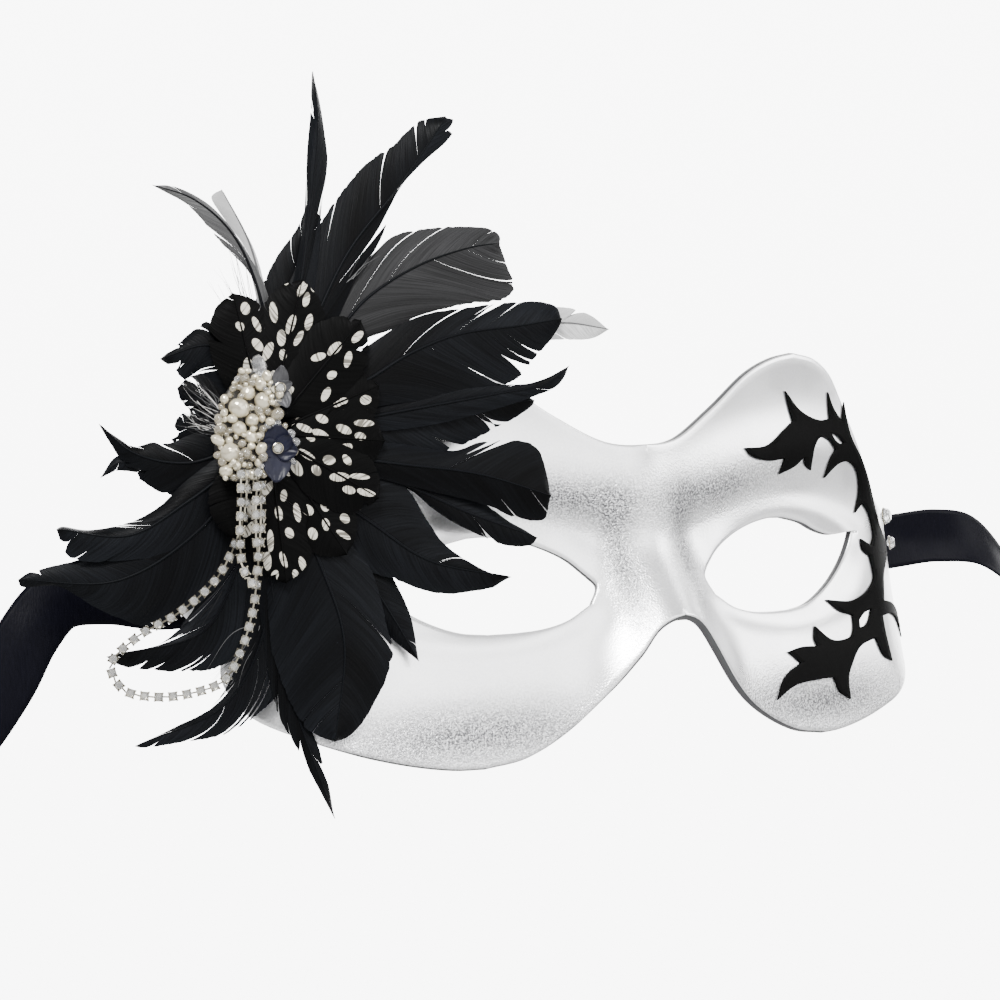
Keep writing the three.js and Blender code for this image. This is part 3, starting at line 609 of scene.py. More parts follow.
# Four lines a blade: its name, level above the fan plane and look, then its shaft, left edge and
# right edge in the fan (mm), root to tip. A * stands for the tip of the shaft.
BLADES = """
spike_up 3 curl=1 slits=3 bow=1.2
1.1,1.6 6.7,17.3 11.5,35.3 15,50.4 17.1,62.6 17.1,72.9
5,18.4 11.2,38.4 12.3,42.8 13.3,48.5 14.4,56.6 15.9,64.7 *
10.1,18.1 14.6,35.1 16.3,45.2 18.5,54.3 18.5,60.5 17.9,68.3 *
broad_up 2 curl=2 gape=0.9 bow=0.9 fray=0.06
4.6,8.5 12.3,22.1 20.8,35.8 32.5,48.4 43.5,61.8
3.8,20.7 9.1,32.5 15.9,42.5 20.9,48.5 26.9,54.1 32.4,57.1 35.3,59.6 38.3,61.7 43.5,62.2
16,19.8 23,32 26.1,35.4 29.1,40.2 31.1,45.4 34.3,49.7 38.6,53.4 44.1,57.6 46.1,60.8 *
back_up 0 slits=3
0.4,1.9 5.5,18.7 10.1,32.7 14,46.8
-2.9,13.3 -0.1,24.8 2.7,30.5 7.5,37.4 11.2,41.6 *
10.4,12.3 16.9,26.1 19.8,33.6 17.6,41.4 *
grey_arch 1 curl=2.4 slits=3 gape=0.25 bow=1.4 reach=0.42 skin=3
7.8,8.3 18.1,20.8 24,26.3 35.3,32.1 46.3,34.9 52.2,35.3
11,20.2 19,29.1 26.3,35.4 30.6,38.6 38.6,39.7 48,39.3 51.1,38.5 52.6,36.6 *
15.1,9.8 21.6,17.3 28.5,19.4 34.2,21.7 45.1,23.5 52.5,24 54.9,26.3 53.9,29.7 *
brow_upper 3 curl=1.6 bow=1
7.1,5.2 20.4,8.8 30.9,14 41.3,17.2 54.8,18.1 63.4,18.9
13.8,10.7 23.8,17.1 33.8,21.7 45.9,22.8 52,23.2 60.2,22.7 62.8,21.4 *
13,2.7 27.6,4.1 40.2,5 50.3,6.3 53.8,7.7 57.3,11.4 60.4,14.4 62.8,17.5 *
pale_tip 0.6 slits=2 gape=0.3 skin=2
32.7,8.6 50.3,16.6 63.7,18.4 74.1,16.4
35.2,12.5 50.7,20.5 64,21.8 70.4,19.8 *
34.4,5.4 50,13.5 61,15 70.5,14.8 *
curved_spike 2 curl=2.2 slits=1 gape=0.3
11,0.9 31.9,3 48.8,4.7 58.5,5.9 64.1,9.3
13.3,3.8 34.2,5.9 50.5,6.4 55.1,6.3 59.2,7.2 *
12.8,-1.2 33.6,-0.7 51.8,2.4 56.6,3.7 60.5,4.9 62.6,6.6 *
brow_blunt 0.6 slits=3 gape=0.4 fray=0.08
7.1,1.3 27.8,1.8 44.7,2.7 56.8,3
9.6,6.2 28.4,7.9 45.2,8.1 53.4,5.5 *
8.7,-3.8 26.9,-7.6 39.5,-5.5 48.4,-2.1 53.5,0.2 56.7,2.4 *
brow_lower 3.2 curl=3 slits=2 gape=0.35 bow=1.3
8.2,-4.4 26.4,-8 42.8,-11.4 57.2,-17
10.6,-1.1 26.8,-3.8 38.7,-6.1 43.9,-4.8 50.4,-4.9 53.5,-5.5 55.7,-7.1 56.8,-10.5 57.2,-14.8 *
10,-7.1 22,-10.6 34.2,-14.4 44.9,-18.1 48.9,-20.4 54.3,-21.8 56,-21.4 56.7,-18.8 *
down_round 3.4 curl=2.2 slits=2 gape=0.15 bow=1.3
2.7,-9.5 8.4,-25.9 12.2,-42.2 8.6,-62.3
9.4,-14.1 19.4,-28.9 21.6,-40.3 22.4,-45 20.8,-50.2 18,-54.6 14.7,-59.1 11.5,-61.6 *
-0.6,-17.2 -2.6,-32.9 -2.2,-44.9 0.2,-53.1 3.3,-59.4 *
cheek_wide 2.2 curl=2 slits=2 gape=0.15 bow=1.1
7,-8.8 19.4,-18.8 31.1,-27.8 47.8,-32.6
12.2,-7.2 24.4,-9.1 28.4,-12.9 32.3,-20.6 34.7,-24.5 38.8,-28.2 43.3,-31.2 *
5.6,-13.7 13.7,-26.3 24,-31.2 30.4,-34 35.1,-35 39.9,-34.8 43.7,-34.5 46.1,-33.3 *
cheek_spike 1 slits=1 gape=0.2
6,-10.6 15.1,-24.4 22.3,-37 27.8,-47.8
10.1,-10 20.3,-22.8 24.7,-32.2 26.9,-38.4 *
3.7,-13.4 10.7,-28 17.1,-37 23,-43.1 *
down_spike 2.4 gape=0.8
-1.2,-9.1 -1.1,-33 1.3,-53.2 7.8,-77.6
2.5,-13.4 3.9,-33.5 4.5,-51.5 6.1,-64.7 7.2,-70.8 *
-3.8,-16.9 -4,-36.8 -1.9,-55.9 1.4,-63 4.9,-70.9 *
down_frayed 1.6 curl=1.5 slits=5 gape=2.2 fray=0.1 reach=0.5
-1.6,-9.1 -1.3,-25 -4.2,-40.7 -12.6,-52.9 -31.1,-59.3
2.6,-13.4 3,-33.4 0.8,-49.1 -4.9,-55 -12.5,-58.7 -20.6,-59.5 -29.9,-59.8 *
-4.7,-16.8 -6.6,-32.5 -9.6,-45.2 -14.6,-52.5 -22.7,-56.3 *
left_frayed 1 gape=1.8 fray=0.08 reach=0.45
-2.8,-6.9 -7.2,-24.5 -15.3,-37.7 -34.9,-41.1
-0.3,-13.1 -2.6,-28.9 -7.7,-42.4 -13.5,-45.6 -25.3,-44.9 -32.6,-43 *
-6.3,-12.6 -13.5,-27.9 -22.4,-38.6 -30.1,-40.7 *
left_wide_a 3 curl=1 slits=3 gape=0.4 bow=1.1
-3.8,-4 -16.4,-11.9 -28.8,-17.7 -42.9,-15.2
-5.2,-8.8 -15.2,-20.9 -29.2,-22.6 -40.8,-21 *
-5.5,-0.9 -17.1,-8.2 -21.6,-12 -26.3,-14.4 -31.1,-15.5 -36.9,-15.8 -41.9,-14.7 *
left_wide_b 2.2 slits=3 gape=0.3
-3.4,-5.4 -14.9,-17.9 -31.4,-26.3 -51.1,-24.4
-3.3,-10.9 -7.4,-24.5 -18.1,-33.9 -26.3,-36.1 -31.4,-34.1 -36.3,-31.4 -43.4,-26.4 -50.6,-25.8 *
-6.7,-3.7 -22.6,-15.2 -34.8,-20.5 -45.4,-22.5 -49,-23.2 *
left_hooked_a 2 slits=3 gape=0.8
-2.4,-1 -15.7,-4.3 -26.3,-1.4 -32.6,5
-3.7,-4.9 -14.2,-10.4 -20.7,-10.2 -27.7,-4.2 -30.9,1.4 *
-4,3.1 -13.1,1.9 -19.4,0 -22.2,0.5 -26.1,0 -29.5,2.3 *
left_hooked_b 1 slits=3 gape=0.8
-2.9,-1.9 -15.8,-7.8 -25.4,-4 -29.3,-3 -33.2,-5.7
-3.8,-6.8 -14.2,-11.9 -24.3,-7.5 -29,-4.6 *
-4.1,0.2 -15.5,-4.2 -25.2,-2 -29.5,-1.6 *
left_short 1.4 slits=3 gape=0.8 fray=0.15
-2.1,1 -10.1,1.7 -14.9,3.1 -17.1,4.7
-3.5,-2.9 -11.6,-4.6 -17.3,-1.7 -18.7,0.8 *
-3.2,4.1 -8.6,6.5 -12.5,7.5 -15,6.5 *
upper_left_a 2.4 curl=1.5 gape=1 fray=0.1 bow=1.3
-1.5,2.9 -3.1,13 -9.2,18.6 -19.5,16.8
-4.2,2.1 -8.9,8.5 -11.9,13.4 -15.2,12.2 -16.9,14.4 *
1.5,12.7 -0.6,23.4 -7.1,23.1 -9,23.8 -13,21.7 -15.8,19.5 *
upper_left_b 1.8 gape=1.2 fray=0.16
-1.5,2.5 -6.5,5.6 -11.5,8.2 -16.5,10.8
-3,0.2 -8,2.6 -12.6,4.8 -15.8,7.6 *
-1.6,6 -5.6,10.5 -9.6,13.2 -13.5,13.4 *
grey_curl_a 2.6 curl=1 slits=3 gape=0.3 skin=1 reach=0.4
1.3,6.6 2.1,24.8 -2.3,40.4 -9.5,48.3 -17.6,51.9
0.1,8.8 0.8,31 -4.8,39.1 -11,47.5 -14.6,50 *
2.5,8.6 3.7,26.7 -0.5,38.2 -6.1,46.8 -13.2,51.4 *
grey_curl_b 2 slits=3 gape=0.8 skin=2 reach=0.4
1.4,6.7 2.4,24.8 1,38.2 -3.6,50.2
0.4,8.8 1.2,26.9 -1.3,39.4 -5.8,48.7 -5.3,49.5 *
2.8,8.6 3.4,26.8 1.9,37.1 -1,44.2 *
brow_under 1.2 slits=2 gape=0.3
8.3,-6.8 26.4,-11.6 40.4,-18.8 54.6,-25
12.6,-5.2 30.8,-9.6 42.8,-16.1 49.2,-21.3 52.2,-23.2 *
8.1,-9.8 20.3,-10.4 28.8,-13.2 32.8,-17 37.1,-20.4 42.5,-23.6 46.9,-25.8 51.3,-26.6 53.4,-26.3 *
"""
# Loose barbs of a node: where they start and end, how many there are and how far they spread.
TUFTS = {
    "upper_left": [((-8, 5), (-13, 11), 44, 3), ((-4, 15), (-5, 24), 16, 2.5), ((-9, 2), (-15, 5), 40, 3)],
    "grey_curl": [((0, 16), (-2.5, 41), 3, 1.2), ((-1, 22), (-5, 33), 16, 3.5), ((1, 20), (0, 39), 3, 1.0)],
    "down_frayed": [((-3, -38), (-13, -48), 14, 4), ((3, -46), (1, -55), 12, 2.5)],
    "left_frayed": [((-10, -30), (-19, -39), 10, 3)],
    "broad_up": [((20, 30), (25, 35), 8, 2)],
    "left_short": [((-9, 0), (-14, 3), 10, 3)],
}
SKINS = [BLACK, GREY, PALE, ASH, DOWN]


def read_blades():
    """Name, level, look, shaft, left edge and right edge of each blade."""
    lines = BLADES.split("\n")[1:-1]
    for head, *edges in zip(*(lines[k::4] for k in range(4))):
        name, level, *look = head.split()
        look = dict(item.split("=") for item in look)
        look = {key: int(value) if key in ("slits", "skin") else float(value) for key, value in look.items()}
        tip = edges[0].split()[-1]
        yield name, float(level), look, *(points(edge.replace("*", tip)) for edge in edges)


def plumes():
    groups = {}
    for blade in read_blades():
        node = re.sub("_[ab]$", "", blade[0])
        groups.setdefault(node, []).append(blade)
    for node, parts in groups.items():
        m = Mesher()
        for name, level, look, shaft, left, right in parts:
            skin_index = look.pop("skin", 0)
            vane(m, shaft, left, level, name, 1, mat=skin_index, **look)
            vane(m, shaft, right, level, name, -1, mat=skin_index, **look)
            quill(m, shaft, level, look.get("curl", 0), mat=1 if skin_index == 2 else 0)
        r = random.Random(node)
        for start, end, count, spread in TUFTS.get(node, []):
            for _ in range(count):
                j, k = (np.array([r.gauss(0, spread * w), r.gauss(0, spread * w)]) for w in (0.25, 0.5))
                p, q = np.array(start) + j, np.array(end) + j + k
                middle = (p + q) / 2 + np.array([r.gauss(0, 1), r.gauss(0, 1)]) * spread * 0.22
                pale = 4 if node == "upper_left" and r.random() < 0.22 else r.choice((1, 3, 0))
                level = parts[0][1] - 0.5 + r.random()
                hair(m, [p, middle, q], level, r.uniform(0.10, 0.2), pale, r.uniform(-1, 1))
        grey = node in ("grey_arch", "pale_tip", "grey_curl")
        place(m.build(f"plume_{node}_vanes", SKINS), "grey" if grey else "feather", "plume_" + node)


plumes()


def spot_field(seed, length):
    """Cream ovals in staggered rows along a feather. Positive inside a spot."""
    r = random.Random(seed)
    ovals = []
    row, v = seed % 2, r.uniform(3.0, 5.0)
    while v < length - 1.2:
        for u in ((-3.6, 0.0, 3.6) if row % 2 else (-1.9, 1.9)):
            if r.random() < 0.9 and not (seed == 0 and u > 0.5) and not (seed == 8 and u < -0.5):
                shifts = v + r.uniform(-0.8, 0.8), u + r.uniform(-0.6, 0.6)
                ovals.append((*shifts, r.uniform(1.0, 2.1), r.uniform(0.65, 1.0), r.uniform(-0.6, 0.6)))
        v += 3.9 + r.uniform(-0.5, 0.6)
        row += 1
    o = np.array(ovals)

    def field(along, across):
        x, y = along[:, None] - o[:, 0], across[:, None] - o[:, 1]
        c, s = np.cos(o[:, 4]), np.sin(o[:, 4])
        d = (np.abs((x * c + y * s) / o[:, 2]) ** 2.0 + np.abs((y * c - x * s) / o[:, 3]) ** 2.0) ** (1 / 2.0)
        return np.clip(1 - d.min(axis=1), -1, 1)

    return field


def spotted_feathers():
    for i, reach in enumerate([29, 32, 30, 25, 24, 26, 29, 30, 22]):
        along, across = polar(98 - 26.5 * i, 1), polar(188 - 26.5 * i, 1)
        stations = [(5, 0.8), (9, 4.6), (14, 6.6), (20, 7.4), (26, 6.4), (30, 3.6), (32, 0)]
        shape = [(d * reach / 32, w) for d, w in stations]
        shaft = [tuple(along * d) for d, _ in shape[::2]]
        m = Mesher()
        field = spot_field(i, reach - 5)
        level = 4.6 + (i % 3) * 0.5
        for side in (1, -1):
            edge = [tuple(along * d + across * side * w) for d, w in shape]
            vane(m, shaft, edge, level, f"spotted{i}", side, bow=0.9, slits=2, gape=0.3, fray=0.12,
                 pitch=0.28, cols=22, spots=field, curl=0.6)
        quill(m, shaft, level, 0.6, 0.3, spots=True)
        place(m.build(f"spotted_vane_{i + 1}", [SPOTTED]), "spotted", f"spotted_feather_{i + 1}")


spotted_feathers()


# ---- brooch
def square_to(out):
    """Two directions square to out."""
    side = unit(np.cross(UP, out) if abs(out[2]) < 0.9 else np.array([1.0, 0, 0]))
    return side, np.cross(out, side)


def sphere(centre, radius, rows=14, cols=22, wobble=0.0, seed=0, stretch=1.0, lean=0.0):
    """An uneven ball that faces out of the fan."""
    r = random.Random(seed)
    side, up = square_to(OUT)
    phase = [r.uniform(0, 6.28) for _ in range(3)]
    ca, sa = cos(lean), sin(lean)
    verts = []
    for i in range(rows + 1):
        th = pi * i / rows
        for j in range(cols):
            ph = 2 * pi * j / cols
            k = 1 + wobble * (sin(2 * ph + phase[0]) * sin(th) + sin(3 * th + phase[1]) * 0.6)
            a, b = sin(th) * cos(ph), sin(th) * sin(ph) * stretch
            turned = side * (a * ca - b * sa) + up * (a * sa + b * ca)
            verts.append(centre + radius * k * (turned + OUT * cos(th)))
    return verts, grid(rows, cols, closed=True, flip=True)


def gem(centre, out, radius, height, sides=8, turn=0.0):
    """A cut stone: pavilion, girdle, crown facets and table."""
    side, up = square_to(out)
    rings = [(0.35, -0.75), (1.0, 0.0), (1.0, 0.12), (0.86, 0.5), (0.55, 0.85)]
    verts, faces = [], []
    for k, (share, rise) in enumerate(rings):
        for i in range(sides):
            a = 2 * pi * (i + (0.5 if k >= 3 else 0.0)) / sides + turn
            flat = side * radius * share * cos(a) + up * radius * share * sin(a)
            verts.append(centre + flat + out * height * rise)
    for a, b, c, d in grid(len(rings) - 1, sides, closed=True):
        faces += [(a, b, c), (a, c, d)]
    faces.append(tuple(range(sides))[::-1])
    faces.append(tuple((len(rings) - 1) * sides + i for i in range(sides)))
    return verts, faces


def torus(centre, out, radius, wire, cols=20, rows=8):
    side, up = square_to(out)
    verts = []
    for i in range(cols):
        a = 2 * pi * i / cols
        d = side * cos(a) + up * sin(a)
        for j in range(rows):
            b = 2 * pi * j / rows
            verts.append(centre + d * (radius + wire * cos(b)) + out * wire * sin(b))
    # The last ring of faces ends on the first points.
    return verts, [tuple(k % len(verts) for k in quad) for quad in grid(cols, rows, closed=True, flip=True)]


TOP = 7.0  # front of the brooch plate above the fan plane
SEAT = TOP + 0.12  # where pearls and beads stand
# Places in the fan and radii.
PEARLS = points("""
    -0.9,9.65,1.3 -3.6,8.1,1.5 -5.7,5.2,2.05 -0.8,6.3,1.65 -3.3,2.6,1.4 -6,1.2,1.5 -3.8,-0.6,1.35
    -8.3,-3.4,1.95 -9.3,-7,1.4
""")
BEADS = points("-4.2,11.1,1.3 1.9,3.4,1.4 -9.6,1.4,1.3 -5,-3.8,1.2")
TOP_BEAD = (-0.8, 13.3)
BASE = (-4.1, 1.9)
BASE_LEAN = -18
for i, (a, b, r) in enumerate(PEARLS):
    m = Mesher()
    m.add(*sphere(fan(a, b, SEAT + r), r, wobble=0.035, seed=i, stretch=1.08, lean=i * 0.7))
    place(m.build(f"pearl_ball_{i + 1}", [PEARL]), "pearl", f"pearl_{i + 1}")
for i, (a, b, r) in enumerate(BEADS):
    m = Mesher()
    m.add(*sphere(fan(a, b, SEAT + r), r, wobble=0.05, seed=30 + i))
    place(m.build(f"bead_{i + 1}", [FROST]), "crystal", f"clear_bead_{i + 1}")
m = Mesher()
m.add(*sphere(fan(*TOP_BEAD, SEAT + 1.6), 1.5, rows=8, cols=9, stretch=1.55, wobble=0.03, seed=50, lean=0.12))
place(m.build("top_bead_drop", [CLEAR], smooth=False), "crystal", "top_bead")


def ellipse(centre, size, lean, count):
    t = np.linspace(0, 2 * pi, count, endpoint=False)
    x, y = size[0] * np.cos(t), size[1] * np.sin(t)
    c, s = cos(radians(lean)), sin(radians(lean))
    return np.stack([centre[0] + x * c - y * s, centre[1] + x * s + y * c], axis=1)


def slab(outline, low, high):
    """A flat piece lying in the fan, with a rounded edge."""
    c = outline.mean(axis=0)
    profile = points("0,0 0.9,0 0.97,0.1 1,0.4 1,0.6 0.97,0.9 0.9,1 0.6,1 0.3,1 0,1")
    verts = []
    count = len(outline)
    for share, rise in profile:
        p = c + (outline - c) * max(share, 0.001)
        verts.extend(fan(p[:, 0], p[:, 1], low + rise * (high - low)))
    return verts, grid(len(profile) - 1, count, closed=True)


m = Mesher()
m.add(*slab(ellipse(BASE, (6.2, 11.6), BASE_LEAN, 48), 6.2, TOP))
place(m.build("brooch_base", [PLATE]), "metal", "brooch_plate")
m = Mesher()
m.add(*slab(ellipse((0, 0), (11, 15), 0, 60), -2.9, -0.7))
place(m.build("felt_backing", [FELT]), "felt", "felt_pad")


def seed_beads():
    """Small beads and pearls that fill the brooch between the named ones."""
    r = random.Random(11)
    m = Mesher()
    taken = PEARLS + BEADS + [(*TOP_BEAD, 1.7)]
    named = len(taken)
    c, s = cos(radians(BASE_LEAN)), sin(radians(BASE_LEAN))

    def bead(a, b, high, size, kind, seed, **shape):
        m.add(*sphere(fan(a, b, high), size, rows=9, cols=14, seed=seed, **shape), mat=kind)

    for _ in range(2600):
        ang, rad = r.uniform(0, 2 * pi), sqrt(r.random())
        x, y = 6.1 * rad * cos(ang), 11.4 * rad * sin(ang)
        a, b = BASE[0] + x * c - y * s, BASE[1] + x * s + y * c
        size = r.uniform(0.6, 1.15)
        under_flower = a > -1.0 and b < 1.6
        if not under_flower and all(hypot(a - p, b - q) > 0.80 * (size + w) for p, q, w in taken):
            taken.append((a, b, size))
            seed = len(taken) - named
            high = SEAT + size + r.uniform(0.2, 1.3)
            kind = 0 if r.random() < 0.6 else 1
            stretch, lean = r.uniform(0.9, 1.4), r.uniform(0, 3)
            bead(a, b, high, size, kind, seed, wobble=0.06, stretch=stretch, lean=lean)
    # A second, higher layer over the gaps between the pearls.
    for k in range(16):
        a0, b0, w = r.choice(taken[:named])
        ang = r.uniform(0, 2 * pi)
        a, b = a0 + (w + 0.1) * cos(ang), b0 + (w + 0.1) * sin(ang)
        if a > -1.2 and b < 1.8:
            continue
        size = r.uniform(0.45, 0.75)
        bead(a, b, SEAT + 1.5 + w * 0.8, size, r.choice((0, 0, 1, 2)), 200 + k, wobble=0.06)
    # Glass beads round the navy flower.
    rim = "-1.6,-0.3 -0.2,1.2 1.4,1.5 3.1,0.9 4.3,-0.6 4.9,-2.4 4.7,-4.3 4.0,-6.1 -2.4,-6.6 -1.8,-8.4"
    for k, (a, b) in enumerate(points(rim)):
        size, kind = 0.62 + 0.1 * (k % 3), 2 if k % 3 else 1
        bead(a, b, SEAT + 1.5, size, kind, 300 + k, wobble=0.08, stretch=1.3, lean=k)
    return place(m.build("seed_beads", [PEARL, FROST, CLEAR]), "pearl")


seed_beads()


def flower(name, mat, slot, centre, lobes, node):
    """Separate cupped petals round a set stone."""
    m = Mesher()
    low = TOP + 1.5
    for k, (angle, reach, spread) in enumerate(lobes):
        rows, cols = 12, 13
        verts = []
        for back in (0, 1):
            for i in range(rows + 1):
                s = i / rows
                for j in range(cols):
                    q = 2 * j / (cols - 1) - 1
                    edge = sin(pi * min(1, 0.18 + 0.82 * s) * 0.92) ** 0.7
                    wide = radians(spread) * reach * 0.62 * edge * q
                    along = reach * s * (1 - 0.10 * q * q)
                    d = polar(angle, 1)
                    a = centre[0] + d[0] * along - d[1] * wide
                    b = centre[1] + d[1] * along + d[0] * wide
                    cup = 0.9 * s * s + 0.35 * q * q * s + 0.12 * sin(9 * q + k) * s
                    verts.append(fan(a, b, low + 0.15 * k + cup - 0.25 * back))
        m.add(verts, two_layers(rows, cols - 1))
    place(m.build(name + "_petals", [mat]), slot, node)
    g = Mesher()
    at = fan(*centre, low + 1.1)
    g.add(*gem(at + OUT * 0.2, OUT, 0.85, 0.75, 10), mat=0)
    g.add(*torus(at, OUT, 1.0, 0.2), mat=1)
    g.add(*slab(ellipse(centre, (0.95, 0.95), 0, 20), low + 0.5, low + 1.0), mat=1)
    obj = g.build(name + "_stone", [STONE, CUP], smooth=False)
    place(obj, "crystal", node + "_rhinestone")


# Each petal: its direction and half width in degrees, with its length between them.
NAVY_PETALS = [(85, 4.8, 52), (170, 3.6, 52), (262, 6.8, 40), (345, 4.0, 52), (35, 3.6, 40)]
SMOKY_PETALS = [(80, 4.6, 34), (185, 2.0, 60), (285, 4.2, 36), (20, 2.6, 40)]
flower("navy", NAVY, "navy", (1.2, -3.4), NAVY_PETALS, "navy_flower")
flower("smoky", SMOKE, "smoke", (2.8, 8.5), SMOKY_PETALS, "smoky_flower")


# ---- cup chains
CORNERS = ((-1, -1), (1, -1), (1, 1), (-1, 1))


def box(centre, x, y, z, size, taper=1.0):
    verts = []
    for dz in (-1, 1):
        k = taper if dz > 0 else 1.0
        for dx, dy in CORNERS:
            verts.append(centre + x * dx * size[0] / 2 * k + y * dy * size[1] / 2 * k + z * dz * size[2] / 2)
    return verts, [(0, 3, 2, 1), (4, 5, 6, 7), (0, 1, 5, 4), (1, 2, 6, 5), (2, 3, 7, 6), (3, 0, 4, 7)]


CUP_SIZE = 1.6
CUP_PITCH = 2.75


def cup_chain(name, stations, level, node, body):
    """Set stones in square cups, joined by short links."""
    flat = smooth_line(stations, 400)
    path = fan(flat[:, 0], flat[:, 1], np.full(len(flat), level))
    run = run_of(path)
    length = run[-1]
    count = int(length / CUP_PITCH)
    m = Mesher()
    r = random.Random(name)
    for i in range(count + 1):
        d = length * i / count
        at, ahead, behind = (point_at(path, run, q) for q in (d, min(d + 0.5, length), max(d - 0.5, 0)))
        x = unit(ahead - behind)
        z = unit(OUT - x * np.dot(OUT, x) + 0.12 * r.uniform(-1, 1) * np.cross(OUT, x))
        y = np.cross(z, x)
        m.add(*box(at - z * 0.35, x, y, z, (CUP_SIZE, CUP_SIZE, 0.7), 1.1), mat=0)
        for dx, dy in CORNERS:
            m.add(*box(at + (x * dx + y * dy) * 0.78 + z * 0.25, x, y, z, (0.38, 0.38, 0.9), 0.7), mat=0)
        m.add(*gem(at + z * 0.1, z, 0.86, 0.8, 8, pi / 8), mat=1)
        if i < count:
            mid = point_at(path, run, d + length / count / 2)
            m.add(*box(mid - z * 0.35, x, y, z, (length / count - CUP_SIZE, 0.34, 0.3)), mat=0)
    obj = place(m.build(name, [CUP, STONE], smooth=False), "metal", node, body=body)
    return obj


LONG = points("""
    -5.2,-8 -6,-14 -8,-20 -13,-28 -21,-34 -29.5,-38 -35,-43 -33,-48 -27,-50 -20,-50 -13,-48 -9,-42
    -6.3,-35 -4.5,-26 -3.2,-17 -2.6,-10.4
""")
SHORT = points("-3.4,-8 -4.2,-13 -4.8,-20 -5,-26.5 -6.4,-29.5 -7.9,-26.5 -8,-20 -7.2,-13 -6.8,-8")
cup_chain("long_chain_cups", LONG, 8.6, "long_cup_chain", "long_chain")
cup_chain("short_chain_cups", SHORT, 11.4, "short_cup_chain", "short_chain")


# ---- ribbons
RIBBON_WIDTH = 12.5
RIBBON_LENGTH = 300.0
RIBBON_Z = 5.3
GLUED_X = (84, 90, 97)
# Points of each ribbon measured from the end of its glued part: outwards, backwards and up.
RIGHT_FALL = points("14,4,1 28,6,1.5 42,7,-1 54,7,-14 59,6,-40 60,5,-95 59,5,-280")
LEFT_FALL = points("""
    10,3,2 20,5,1.5 27,6,-5 32,7,-13 38,8,-21 47,9,-32 57,9,-48 64,7,-80 66,5,-130 66,5,-280
""")


def ribbon(name, side, fall, node):
    inside = -(THICK + 0.35 + 0.25)
    stations = [skin(side * x, RIBBON_Z, inside, bumps=False)[0] for x in GLUED_X]
    tip = stations[-1]
    stations += [tip + np.array([side * x, y, z]) for x, y, z in fall]
    route = smooth_line(stations, 300)
    run = run_of(route)
    length = min(RIBBON_LENGTH, run[-1])
    steps, cols = 150, 12
    flat = unit(np.cross([0, 0, 1], route[-1] - route[0]))
    verts = []
    for layer in (0.5, -0.5):
        for i in range(steps + 1):
            d = length * i / steps
            at, ahead, behind = (point_at(route, run, q) for q in (d, min(d + 1, run[-1]), max(d - 1, 0)))
            along = unit(ahead - behind)
            s = d / run[-1]
            k = min(1, max(0, (s - 0.12) / 0.38))
            turn = (k * k * (3 - 2 * k)) * radians(80)
            edge = unit(np.cross(along, flat))
            wide = unit(edge * cos(turn) + flat * sin(turn))
            thin = np.cross(along, wide)
            free = min(1, max(0, (d - 18) / 40))
            for c in range(cols + 1):
                q = c / cols - 0.5
                sway, curl = 1.1 * sin(d / 23 + side) * q * 2, 0.9 * (q * 2) ** 2
                wave = free * (sway + curl + 0.35 * sin(d / 9 + 5 * q))
                verts.append(at + wide * q * RIBBON_WIDTH + thin * (wave + layer * 0.3))
    obj = make(name, verts, two_layers(steps, cols), [SATIN])
    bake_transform(obj)
    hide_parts(node)
    return obj


ribbon("ribbon_right_satin", 1, RIGHT_FALL, "right_ribbon")
ribbon("ribbon_left_satin", -1, LEFT_FALL, "left_ribbon")

# ---- scroll trim and temple crystals
UPPER = points("""
    44.5,39 49.5,34.6 55.4,32.6 59.3,32.8 59.4,38.6 61.2,35 63.8,32.2 65,36.4 66.6,29 70.6,23.2
    73.2,18.5 75.2,13.6 77,9.4 79.6,6.2 81.8,3.2 70.2,2.1 67.6,3.8 67.6,6 71.3,4.4 73.1,6.6 72.2,11.2
    70,14 67,11.8 69,17 68.2,21.2 65.2,23.2 61.5,22.8 56.4,19.8 58.4,23.8 60.4,26 58.4,28 55.2,28.8
    52.8,26.8 51.9,24.4 51.4,21.6 49.3,22.9 48.9,24.6 45.6,22.6 40.4,21 42,24.4 36.6,24 31,25.2 29.4,27
    36.5,27.4 42.8,30.6 46.2,32.4
""")
UPPER_SLOT = points("59.3,29.6 61.2,29.1 63.6,27.4 62.2,27.2 60.4,28.2")
LOWER = points("""
    76.2,-2 81.8,3.2 70.2,2.1 70.8,-2.8 68.3,-5.2 64.5,-6.8 59.9,-7.6 52.4,-6.9 55.6,-9.5 60.8,-10.8
    60.3,-13.3 59,-15.2 56.2,-15.9 51.6,-15.8 46.4,-12.5 45.5,-15.4 46,-16.9 40.5,-16.8 35.9,-17.6
    39.4,-20.2 33.7,-22.9 30.2,-27.6 36.4,-25 45.5,-24.1 49.8,-24 51.4,-27.2 54.8,-29 55.2,-24.3
    57,-21.7 61,-18 67.6,-16.2 69.4,-20.2 72.4,-21.6 71.8,-15.4 72,-11.4 76.6,-11 81,-12.6 84.4,-16.4
    83.2,-10.8 78.4,-8.6 74,-8 75,-5
""")
LOWER_SLOT = points("68.2,-9.6 65,-10.6 62.8,-12 62.6,-13.6 64.9,-13.2 66.8,-11.8")


